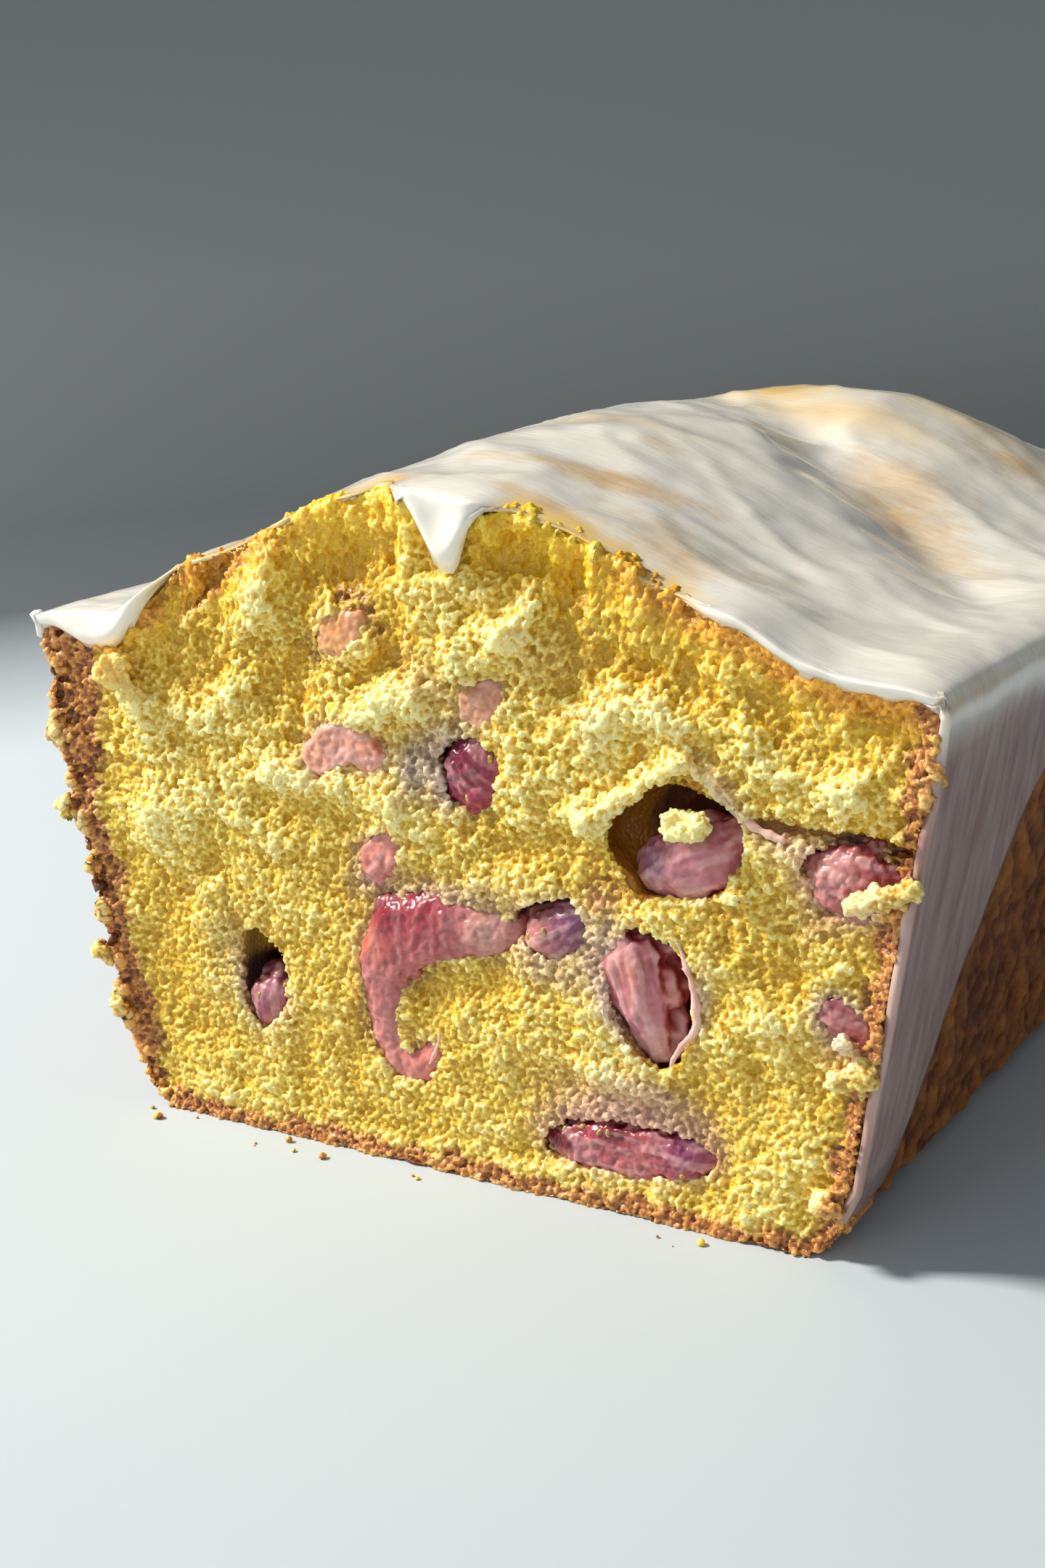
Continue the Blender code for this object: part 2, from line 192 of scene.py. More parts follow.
def crownProfile():
    # height of the crown at the cut, from the CAD cake
    co = np.array([v.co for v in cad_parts["cake"].data.vertices])
    front = co[(co[:, 1] < cutY + 6 * mm) & (co[:, 2] > 55 * mm)]
    places = np.linspace(front[:, 0].min(), front[:, 0].max(), 60)
    heights = [front[np.abs(front[:, 0] - x) < 3 * mm][:, 2].max() for x in places]
    return places, np.array(heights)


def cloudTexture(name, size, depth=2, contrast=1.0):
    texture = bpy.data.textures.new(name, "CLOUDS")
    texture.noise_scale = size
    texture.contrast = contrast
    texture.noise_depth = depth
    return texture


def roughen(obj, texture, strength, midLevel=0.5, group=""):
    applied(
        obj, "DISPLACE", texture=texture, strength=strength, mid_level=midLevel,
        texture_coords="LOCAL", vertex_group=group,
    )


def weightGroup(obj, name, weights):
    group = obj.vertex_groups.new(name=name)
    steps = np.round(np.clip(weights, 0, 1) * 20).astype(int)
    for step in range(1, 21):
        which = np.nonzero(steps == step)[0]
        if len(which):
            group.add(which.tolist(), step / 20, "REPLACE")
    return name


# Materials

def newMaterial(name, finish):
    material = bpy.data.materials.new(name)
    material.use_nodes = True
    tree = material.node_tree
    shader = tree.nodes["Principled BSDF"]
    for socket, value in finish.items():
        shader.inputs[socket].default_value = value
    return material, tree.nodes, tree.links, shader


def feed(links, socket, value):
    # a link where the value comes from a node, otherwise a fixed value
    if isinstance(value, bpy.types.NodeSocket):
        links.new(value, socket)
    else:
        socket.default_value = (*value, 1) if isinstance(value, tuple) else value


def mask(nodes, name, output="Fac"):
    node = nodes.new("ShaderNodeAttribute")
    node.attribute_name = name
    return node.outputs[output]


def shaderGroup(name, inputs, output, kind):
    # a node group with number inputs and one output
    group = bpy.data.node_groups.new(name, "ShaderNodeTree")
    for label in inputs:
        group.interface.new_socket(name=label, in_out="INPUT", socket_type="NodeSocketFloat")
    group.interface.new_socket(name=output, in_out="OUTPUT", socket_type=kind)
    return group, group.nodes.new("NodeGroupInput").outputs, group.nodes.new("NodeGroupOutput").inputs


def grainGroup():
    # noise by the place on the object
    inputs = ("Scale", "Detail", "Roughness")
    group, given, result = shaderGroup("grain", inputs, "Fac", "NodeSocketFloat")
    place = group.nodes.new("ShaderNodeTexCoord")
    texture = group.nodes.new("ShaderNodeTexNoise")
    group.links.new(place.outputs["Object"], texture.inputs["Vector"])
    for label in inputs:
        group.links.new(given[label], texture.inputs[label])
    group.links.new(texture.outputs["Fac"], result["Fac"])
    return group


def brownedGroup():
    # the crust's colours from its hollows to its peaks: a random baked tone, with painted shade in the hollows
    # and painted light on the peaks
    group, given, result = shaderGroup("browned", ("Level",), "Color", "NodeSocketColor")
    look = crumbLook
    stops = (0.15, look["crustDarkAndShade"]), (0.5, look["crust"]), (0.95, look["crustPaleAndLit"])
    group.links.new(ramped(group.nodes, group.links, given["Level"], *stops), result["Color"])
    return group


def placed(nodes, links, name, **values):
    node = nodes.new("ShaderNodeGroup")
    node.node_tree = groups[name]
    for label, value in values.items():
        feed(links, node.inputs[label], value)
    return node.outputs[0]


def grain(nodes, links, scale, detail=2, rough=0.5):
    return placed(nodes, links, "grain", Scale=scale, Detail=detail, Roughness=rough)


def ramped(nodes, links, level, *stops):
    node = nodes.new("ShaderNodeValToRGB")
    elements = node.color_ramp.elements
    while len(elements) < len(stops):
        elements.new(0.5)
    for element, (place, colour) in zip(elements, stops):
        element.position = place
        element.color = (*colour, 1)
    links.new(level, node.inputs["Fac"])
    return node.outputs["Color"]


def mixNode(nodes, links, factor, first, second, blend="MIX"):
    node = nodes.new("ShaderNodeMix")
    node.data_type = "RGBA"
    node.blend_type = blend
    for i, value in ((0, factor), (6, first), (7, second)):
        feed(links, node.inputs[i], value)
    return node.outputs[2]


def mathNode(nodes, links, operation, *values):
    node = nodes.new("ShaderNodeMath")
    node.operation = operation
    for socket, value in zip(node.inputs, values):
        feed(links, socket, value)
    return node.outputs[0]


def weightedSum(nodes, links, offset, *terms):
    # masks by their weights, kept between 0 and 1
    level = offset
    for source, weight in terms:
        level = mathNode(nodes, links, "MULTIPLY_ADD", source, weight, level)
    level.node.use_clamp = True
    return level


def bumped(nodes, links, shader, height, strength, distance):
    bump = nodes.new("ShaderNodeBump")
    bump.inputs["Strength"].default_value = strength
    bump.inputs["Distance"].default_value = distance
    links.new(height, bump.inputs["Height"])
    links.new(bump.outputs["Normal"], shader.inputs["Normal"])


def speckledMaterial(name, look):
    material, nodes, links, shader = newMaterial(name, look["finish"])
    colour = ramped(nodes, links, grain(nodes, links, look["grain"]), *look["colours"])
    links.new(colour, shader.inputs["Base Color"])
    return material


# Fruit in the crumb, by its CAD node: the colour at its two ends, the stain round it and its hollow's lining,
# mostly painted shade in a dark red, and for the slice a bright orange that is painted light on the hollow's
# back wall

fruitPieces = {
    "fruit_core": {
        "ends": ((1, 50), (6, 46)), "colours": ((0.17, 0.01, 0.045), (0.42, 0.045, 0.075)), "pale": 0.3,
        "halo": (0.56, 0.38, 0.38), "haloWidth": 4.6, "haloShift": (-3.2, 0.4), "liningLightAndShade": (0.2, 0.05, 0.06),
        "seeds": 5, "grow": (2.1, 1.2), "flat": (0.5, 0.0), "pulp": 0.42,
    },
    "fruit_smear": {
        "ends": ((-18, 47), (-9, 49)), "colours": ((0.8, 0.42, 0.27), (0.78, 0.36, 0.24)), "pale": 0.5,
        "halo": (0.82, 0.5, 0.3), "haloWidth": 3.6, "liningLightAndShade": (0.62, 0.28, 0.14), "grow": (1.6, 1.5),
        "flat": (0.6, 0.0), "pulp": 0.34,
    },
    "fruit_patch": {
        "ends": ((-11, 34), (-7, 39)), "colours": ((0.66, 0.2, 0.16), (0.74, 0.33, 0.24)), "pale": 0.4,
        "halo": (0.76, 0.38, 0.26), "haloWidth": 3.8, "liningLightAndShade": (0.55, 0.18, 0.12), "grow": (1.6, 1.5),
        "flat": (0.9, 0.0), "pulp": 0.36,
    },
    "fruit_arch": {
        "ends": ((-6, 31), (-9, 12)), "colours": ((0.44, 0.065, 0.075), (0.68, 0.28, 0.24)), "pale": 0.15,
        "halo": (0.8, 0.5, 0.4), "haloWidth": 3.4, "haloShift": (0, 0.8), "liningLightAndShade": (0.3, 0.07, 0.06),
        "seeds": 4, "grow": (2.1, 1.9), "flat": (0.2, 0.0), "skin": (0.85, 0.6, 0.6), "pulp": 0.28,
        "spots": ((-8.5, 31, 3.2, (0.28, 0.02, 0.045)), (-2, 32, 3.0, (0.36, 0.035, 0.06)),
            (4.5, 30, 3.6, (0.7, 0.38, 0.3)), (-5, 12, 3.2, (0.7, 0.24, 0.19)),
            (-11, 26, 2.0, (0.62, 0.16, 0.1)),),
    },
    "fruit_band": {
        "ends": ((10, 30), (16, 33)), "colours": ((0.55, 0.24, 0.2), (0.24, 0.06, 0.12)), "pale": 0.4,
        "halo": (0.7, 0.46, 0.42), "haloWidth": 4.0, "haloShift": (-1.0, 0.4),
        "liningLightAndShade": (0.1, 0.012, 0.012), "seeds": 2, "grow": (1.7, 1.2), "flat": (0.5, 0.0), "pulp": 0.3,
        "spots": ((15.5, 33, 2.4, (0.26, 0.09, 0.2)),),
    },
    # the slice's bright lining is painted light on its hollow's back wall
    "fruit_slice": {
        "ends": ((23, 38), (36, 45)), "colours": ((0.64, 0.27, 0.29), (0.54, 0.18, 0.22)), "pale": 0.4,
        "halo": (0.76, 0.48, 0.32), "haloWidth": 2.6, "liningLightAndShade": (0.92, 0.36, 0.03), "liningReach": 6.9,
        "grow": (1.0, 1.0), "flat": (0.9, 0.1), "skin": (0.8, 0.5, 0.5),
        "spots": ((24.5, 40, 2.4, (0.34, 0.17, 0.24)), (29.5, 36.2, 2.2, (0.76, 0.5, 0.42)),
            (22, 37, 1.6, (0.75, 0.32, 0.16)), (35, 45, 2.2, (0.62, 0.2, 0.18)),),
    },
    "fruit_cone": {
        "ends": ((22, 32), (25, 18)), "colours": ((0.48, 0.13, 0.16), (0.68, 0.32, 0.32)), "pale": 0.5,
        "halo": (0.86, 0.55, 0.48), "haloWidth": 3.4, "haloShift": (-1.6, 0.4),
        "liningLightAndShade": (0.36, 0.045, 0.015), "seeds": 1, "grow": (1.2, 1.1), "shift": (-1.1, 0.0),
        "flat": (0.5, -0.15), "skin": (0.7, 0.35, 0.35), "spots": ((22.4, 28.5, 1.6, (0.66, 0.25, 0.18)),
            (24.5, 19, 2.6, (0.72, 0.4, 0.38)),),
    },
    "fruit_base": {
        "ends": ((11, 7), (31, 7)), "colours": ((0.4, 0.055, 0.085), (0.5, 0.11, 0.13)), "pale": 0.38,
        "halo": (0.84, 0.44, 0.4), "haloWidth": 5.0, "haloShift": (0, 1.8), "liningLightAndShade": (0.2, 0.025, 0.02),
        "seeds": 9, "grow": (1.6, 1.2), "flat": (0.75, 0.0), "skin": (0.6, 0.35, 0.4), "pulp": 0.46,
        "spots": ((13, 6.5, 2.2, (0.16, 0.012, 0.02)), (21, 6, 3.0, (0.6, 0.2, 0.19)),
            (28, 8.5, 2.4, (0.3, 0.07, 0.15)), (20, 9.4, 2.4, (0.22, 0.02, 0.03)),),
    },
    "fruit_left": {
        "ends": ((-27, 19), (-27, 13)), "colours": ((0.22, 0.025, 0.05), (0.5, 0.16, 0.18)), "pale": 0.35,
        "halo": (0.62, 0.38, 0.38), "haloWidth": 4.2, "liningLightAndShade": (0.1, 0.01, 0.012), "seeds": 5,
        "grow": (1.5, 1.2), "shift": (-0.8, -1.6), "skin": (0.7, 0.45, 0.5), "pulp": 0.3,
        "spots": ((-26, 18, 2.0, (0.55, 0.25, 0.3)),),
    },
    "fruit_side": {
        "ends": ((44, 40), (51, 41)), "colours": ((0.52, 0.16, 0.15), (0.3, 0.05, 0.06)), "pale": 0.4,
        "halo": (0.78, 0.38, 0.34), "haloWidth": 3.8, "haloShift": (-1, 0), "liningLightAndShade": (0.16, 0.02, 0.02),
        "seeds": 2, "grow": (2.6, 1.6), "flat": (0.7, 0.0), "pulp": 0.44,
        "spots": ((45, 42, 2.6, (0.62, 0.3, 0.26)), (51, 39.6, 2.0, (0.16, 0.015, 0.02)),),
    },
    "fruit_edge": {
        "ends": ((45, 27), (49, 25)), "colours": ((0.34, 0.09, 0.1), (0.45, 0.15, 0.12)), "pale": 0.3,
        "halo": (0.66, 0.44, 0.4), "haloWidth": 3.4, "liningLightAndShade": (0.12, 0.02, 0.02), "seeds": 1,
        "grow": (1.1, 1.2), "flat": (1.1, 0.0), "pulp": 0.34,
    },
    "fruit_high_left": {
        "ends": ((-16, 60), (-11, 63)), "colours": ((0.82, 0.44, 0.16), (0.8, 0.38, 0.13)), "pale": 0.2,
        "halo": (0.78, 0.42, 0.14), "haloWidth": 3.0, "liningLightAndShade": (0.55, 0.22, 0.04), "grow": (1.7, 1.6),
        "flat": (1.0, 0.0), "pulp": 0.34,
    },
    "fruit_high_middle": {
        "ends": ((3, 54), (7, 57)), "colours": ((0.72, 0.4, 0.21), (0.66, 0.31, 0.18)), "pale": 0.2,
        "halo": (0.64, 0.38, 0.18), "haloWidth": 3.2, "liningLightAndShade": (0.4, 0.16, 0.05), "seeds": 1,
        "grow": (1.5, 1.6), "flat": (1.1, 0.0), "pulp": 0.34,
    },
}


def treeOf(names):
    verts, faces = [], []
    for name in names:
        node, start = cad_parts[name], len(verts)
        verts += [v.co.copy() for v in node.data.vertices]
        faces += [[start + i for i in p.vertices] for p in node.data.polygons]
    return BVHTree.FromPolygons(verts, faces)


def distanceTo(tree, co, reach):
    # distance to a surface, for the places that are near it
    found = np.full(len(co), reach)
    for i, place in enumerate(co):
        hit = tree.find_nearest(Vector(place), reach)
        if hit[3] is not None:
            found[i] = hit[3]
    return found


# Where the icing pools over the cut or stops short of it

# how much of the icing's drop at the cut is left, by place across: thin and ragged on the slopes
icingFront = (
    (-57, 1.0), (-43, 1.0), (-37, 0.45), (-7, 0.4), (-3, 1.0), (6, 1.0), (9, 0.4), (27, 0.45), (36, 1.0),
    (57, 1.0),
)


def slimShare(x):
    # 1 where the icing's front edge is thin and set back, 0 where it pools over the cut
    places, left = np.array(icingFront).T
    return 1 - ease(np.interp(x, places * mm, left), 0.42, 0.95)


def frontInset(places):
    # how far behind the cut the icing starts
    insets = [max(2.9 + 2.6 * ragged(x, 3, 4.5, 1.6), 1.7) * mm for x in np.atleast_1d(places)]
    return slimShare(places) * np.array(insets)


def ragged(place, seed, *sizes):
    # noise of several sizes along a line
    waves = (size * noise.noise(Vector((place / (size * mm), seed, i))) for i, size in enumerate(sizes))
    return sum(waves) / sizes[0]


# Crumb

crumbFace = {
    "depth": 9 * mm,
    "roughVoxel": 0.5 * mm,
    "voxel": 0.21 * mm,
    "strips": 6,
    "clumps": 0.85 * mm,
    "clumpSize": 5.0 * mm,
    "lumps": 0.62 * mm,
    "lumpSize": 1.5 * mm,
    "grains": 0.52 * mm,
    "grainSize": 0.62 * mm,
    "crustBand": 3.4 * mm,
    "topFill": 1.7 * mm,
    "sideFill": 0.35 * mm,
    "crags": 2.2 * mm,
    "swell": 1.5 * mm,
    "lean": 1.7 * mm,
}

# ridges and dents of the torn crumb: ends x, z to x, z, width, height out of the face, all in mm
crumbRidges = (
    (-25, 63.5, -22, 68.5, 2.6, 2.0), (18, 44.2, 29, 52.0, 1.5, 2.3), (30, 52.2, 36.5, 46.6, 0.9, 1.6),
    (-12, 52.5, -3, 55.5, 2.4, 1.6), (3, 60, 9, 63.5, 2.4, 1.8), (9, 63.5, 14, 70, 1.8, 1.8),
    (-24, 45, -7, 43.2, 1.8, 1.3), (-30, 52, -26, 57, 2.2, 1.0), (-42, 37, -33, 41, 2.4, 0.9),
    (-45, 46, -38, 52, 2.8, 0.8), (15, 54, 23, 57, 2.4, 1.0), (26, 57, 36, 55, 2.0, 1.0),
    (38, 52, 48, 50, 2.0, 0.9), (33, 22, 38, 26, 2.4, 0.8), (-46, 55.5, -43, 52, 1.8, 1.6),
    (12, 17, 22, 15.2, 1.4, 0.9), (-4, 22, 6, 24, 2.6, -0.7), (8, 71.5, 16, 69, 2.2, -2.2),
    (-17, 67.5, -7, 69.5, 2.2, -1.7), (-20, 50, -19, 60, 1.8, -1.3), (-11, 57, -7, 60, 1.6, -1.4),
    (20, 61, 30, 60, 2.4, -1.2), (37, 46.0, 54, 45.4, 0.8, -2.6), (-35, 62.6, -29, 67.5, 0.7, -2.0),
    (8, 40, 15, 42, 2.2, -0.8), (34, 33, 40, 30, 2.4, -0.8), (-38, 28, -34, 33, 2.2, -0.8),
)

# loose clumps that hang over a hollow: x, how far out, z, half-sizes and turn
crumbClumps = (
    (30.2, 0.2, 45.4, 2.9, 1.7, 1.3, 4), (28.3, 0.6, 46.4, 1.3, 1.3, 1.1, 0),
    (32.0, 0.5, 46.6, 1.1, 1.2, 1.0, 0), (50.9, 1.2, 41.0, 3.0, 1.8, 1.2, 16),
    (53.6, 1.0, 42.2, 1.6, 1.3, 0.9, 26), (48.9, 1.0, 39.6, 1.4, 1.3, 1.0, 0),
    (49.0, 0.5, 22.0, 1.6, 1.5, 1.5, 0), (47.0, 0.6, 24.9, 1.2, 1.2, 1.0, 0),
    (46.5, 0.4, 20.8, 1.3, 1.2, 1.1, 0), (-44.2, 0.5, 55.6, 1.9, 1.5, 1.9, 0),
    (-42.6, 0.4, 53.6, 1.1, 1.2, 1.3, 0), (45.2, 0.2, 7.0, 1.8, 1.4, 1.4, 0),
    (-50.0, 0.0, 19.2, 1.3, 1.5, 1.1, 0), (52.8, 0.3, 46.6, 1.0, 1.1, 1.1, 0),
    (35.2, 0.3, 38.4, 1.3, 1.2, 0.9, 0), (-47.6, 0.0, 12.4, 1.2, 1.3, 1.0, 20),
    (-53.6, 0.0, 37.0, 1.0, 1.2, 1.6, 0),
)

# stained crumb away from the fruit: x, z, reach along and across, tilt, colour and strength
crumbStains = (
    (-32.2, 65.2, 4.6, 0.9, 38, (0.88, 0.28, 0.05), 0.9),
    (-13.6, 19.5, 7.5, 1.7, 92, (0.93, 0.52, 0.05), 0.75),
    (20.5, 12.6, 8.5, 3.0, -3, (0.74, 0.4, 0.3), 0.65), (-29.5, 19.5, 6.0, 3.6, 110, (0.5, 0.34, 0.3), 0.6),
    (-4.6, 47.5, 3.4, 2.2, 90, (0.42, 0.33, 0.34), 0.75),
    (18.0, 31.0, 4.6, 3.2, 60, (0.62, 0.42, 0.36), 0.6),
    (12.5, 26.4, 5.0, 1.8, -8, (0.6, 0.38, 0.32), 0.55),
    (18.6, 35.6, 1.9, 1.2, -40, (0.92, 0.36, 0.12), 0.85),
    (45.0, 43.6, 6.0, 2.4, -6, (0.7, 0.42, 0.34), 0.6), (45.6, 37.6, 4.4, 2.4, 20, (0.66, 0.34, 0.27), 0.5),
    (46.4, 24.6, 3.2, 3.0, 0, (0.6, 0.44, 0.42), 0.55), (0, 33.6, 9.0, 1.7, 4, (0.72, 0.42, 0.32), 0.55),
    (13.6, 61.0, 3.6, 2.6, 0, (0.86, 0.46, 0.1), 0.45), (-1.5, 57.5, 5.0, 2.2, -30, (0.74, 0.44, 0.2), 0.5),
    (-12.0, 33.4, 3.0, 2.6, 40, (0.74, 0.42, 0.3), 0.55),
    (24.8, 14.8, 5.0, 1.4, -16, (0.78, 0.5, 0.4), 0.55),
    (30.6, 26.0, 4.4, 1.2, 82, (0.84, 0.62, 0.44), 0.7),
    (19.4, 24.6, 5.4, 1.3, 116, (0.8, 0.52, 0.44), 0.65),
    (-44.2, 55.6, 2.4, 2.4, 0, (0.95, 0.5, 0.06), 0.7), (33.8, 49.4, 4.4, 1.1, -48, (0.86, 0.6, 0.38), 0.7),
    (41.5, 44.6, 5.2, 1.1, -12, (0.84, 0.56, 0.36), 0.6),
)

crustLook = {
    "voxel": 0.88 * mm,
    "crags": 1.2 * mm,
    "cragSize": 2.8 * mm,
    "fineGrain": 900,
    "patches": 60,
    "finish": {"Roughness": 0.6, "Specular IOR Level": 0.25},
}

crumbLook = {
    # the ramp runs from a shaded recess, which is painted shade, to a lit peak, which is a painted highlight on
    # the paler grains
    "recess": (0.66, 0.37, 0.012),
    "middle": (0.86, 0.60, 0.070),
    "peak": (1.0, 0.86, 0.38),
    # the golden band under the icing: moister crumb, made brighter and flatter as painted light on the top of
    # the face
    "moist": (1.0, 0.61, 0.022),
    "browned": (0.96, 0.36, 0.035),
    "crust": (0.45, 0.155, 0.030),
    "crustDarkAndShade": (0.13, 0.034, 0.009),
    "crustPaleAndLit": (0.82, 0.40, 0.10),
    "crustLift": 0.12,
    "fineGrain": 2200,
    "patches": 170,
    "cells": 1900,
    "finish": {
        "Subsurface Weight": 0.5, "Subsurface Radius": (1.0, 0.74, 0.18), "Subsurface Scale": 1.3 * mm,
    },
}


def crumbMaterial():
    look = crumbLook
    material, nodes, links, shader = newMaterial("crumb", look["finish"])
    fine = grain(nodes, links, look["fineGrain"], 2, 0.6)
    place = nodes.new("ShaderNodeTexCoord")
    cells = nodes.new("ShaderNodeTexVoronoi")
    cells.inputs["Scale"].default_value = look["cells"]
    links.new(place.outputs["Object"], cells.inputs["Vector"])
    cell, patch = cells.outputs["Distance"], grain(nodes, links, look["patches"])
    # the cavity share paints shade in the hollows and light on the peaks; the cell, grain and patch shares vary
    # the tone at random
    shares = (mask(nodes, "cavityShade"), 1), (cell, -0.55), (fine, 0.25), (patch, 0.35)
    level = weightedSum(nodes, links, -0.10, *shares)
    colour = ramped(nodes, links, level, (0.10, look["recess"]), (0.48, look["middle"]), (0.86, look["peak"]))
    moist = mixNode(nodes, links, 0.75, colour, look["moist"])
    colour = mixNode(nodes, links, mask(nodes, "moist"), colour, moist)
    shade = ramped(nodes, links, level, (0.1, (0.5, 0.5, 0.5)), (0.8, (1.2, 1.2, 1.2)))
    tint = mixNode(nodes, links, 1.0, mask(nodes, "tint", "Color"), shade, "MULTIPLY")
    colour = mixNode(nodes, links, mask(nodes, "stained"), colour, tint)
    brown = placed(nodes, links, "browned", Level=mathNode(nodes, links, "ADD", level, look["crustLift"]))
    colour = mixNode(nodes, links, mask(nodes, "crust"), colour, brown)
    links.new(colour, shader.inputs["Base Color"])
    wet = ramped(nodes, links, fine, (0.35, (0.16, 0.16, 0.16)), (0.65, (0.5, 0.5, 0.5)))
    links.new(wet, shader.inputs["Roughness"])
    bumped(nodes, links, shader, mathNode(nodes, links, "SUBTRACT", fine, cell), 0.55, 0.3 * mm)
    return material


def capsuleWeight(co, x0, z0, x1, z1, width):
    start, along = np.array((x0, z0)) * mm, np.array((x1 - x0, z1 - z0)) * mm
    offset = co[:, (0, 2)] - start
    share = np.clip(offset @ along / max(along @ along, 1e-12), 0, 1)
    away = np.linalg.norm(offset - share[:, None] * along, axis=1)
    return np.exp(-((away / (width * mm)) ** 2))


def addClumps(obj):
    clumps = [obj]
    for x, out, z, rx, ry, rz, turn in crumbClumps:
        place = (x * mm, cutY - out * mm, z * mm)
        bpy.ops.mesh.primitive_ico_sphere_add(subdivisions=3, radius=mm, location=place)
        clump = bpy.context.object
        clump.scale = (rx, ry, rz)
        clump.rotation_euler = (0, -math.radians(turn), 0)
        clumps.append(clump)
    joined(clumps)


def stainCrumb(obj, co, depth, below):
    # the browned band under the icing, the fruit's juice in the crumb, and the lining of the hollows: painted
    # shade deep in them, and painted light in the slice's
    weight = 0.8 * (1 - ease(below, 1.6 * mm, 5 * mm)) * ease(np.abs(co[:, 0]), 14 * mm, 28 * mm)
    total = weight[:, None] * np.array(crumbLook["browned"])
    clear = 1 - weight
    for name, look in fruitPieces.items():
        reach = 7 * mm
        low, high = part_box(name)
        close = np.all((co > np.array(low) - reach) & (co < np.array(high) + reach), axis=1)
        which = np.nonzero(close)[0]
        aside, up = look.get("haloShift", (0, 0))
        shift = np.array((aside, 0, up)) * mm
        tree = treeOf([name])
        near = distanceTo(tree, co[which], reach)
        away = distanceTo(tree, co[which] - shift, reach) if shift.any() else near
        halo = 0.78 * (1 - ease(away, 0.3 * mm, look["haloWidth"] * mm))
        # the lining paints shade deep in the hollows round the fruit, and light in the slice's hollow
        liningLightAndShade = ease(look.get("liningReach", 3.5) * mm - near, 0, 1 * mm) * ease(depth[which], 1.3, 2.6)
        for share, colour in ((halo * (1 - liningLightAndShade), look["halo"]), (liningLightAndShade, look["liningLightAndShade"])):
            total[which] += share[:, None] * np.array(colour)
            weight[which] += share
            clear[which] *= 1 - share
    for x, z, along, across, tilt, colour, strength in crumbStains:
        spot = tiltedSpot(co[:, 0] / mm - x, co[:, 2] / mm - z, along, across, tilt)
        share = strength * spot * (1 - ease(depth, 4, 7))
        total += share[:, None] * np.array(colour)
        weight += share
        clear *= 1 - share
    storeColour(obj, "tint", total / np.maximum(weight, 1e-6)[:, None])
    storeMask(obj, "stained", 1 - clear)


def cragTexture():
    return cloudTexture("crags", crustLook["cragSize"], 2, contrast=1.6)


def crustShare(co, band):
    # 1 at the sides and the base, 0 inside, with a wide dark corner at the upper left
    inside = np.minimum(sideDistance(co), co[:, 2] * 1.15)
    corner = 4.5 * mm * ease(-co[:, 0], 36 * mm, 50 * mm) * ease(co[:, 2], 38 * mm, 58 * mm)
    wander = 0.9 * mm * np.sin(co[:, 2] * 900 + co[:, 0] * 700) * np.sin(co[:, 0] * 400 - co[:, 2] * 350)
    return 1 - ease(inside + wander, band * 0.45 + corner, band + corner)


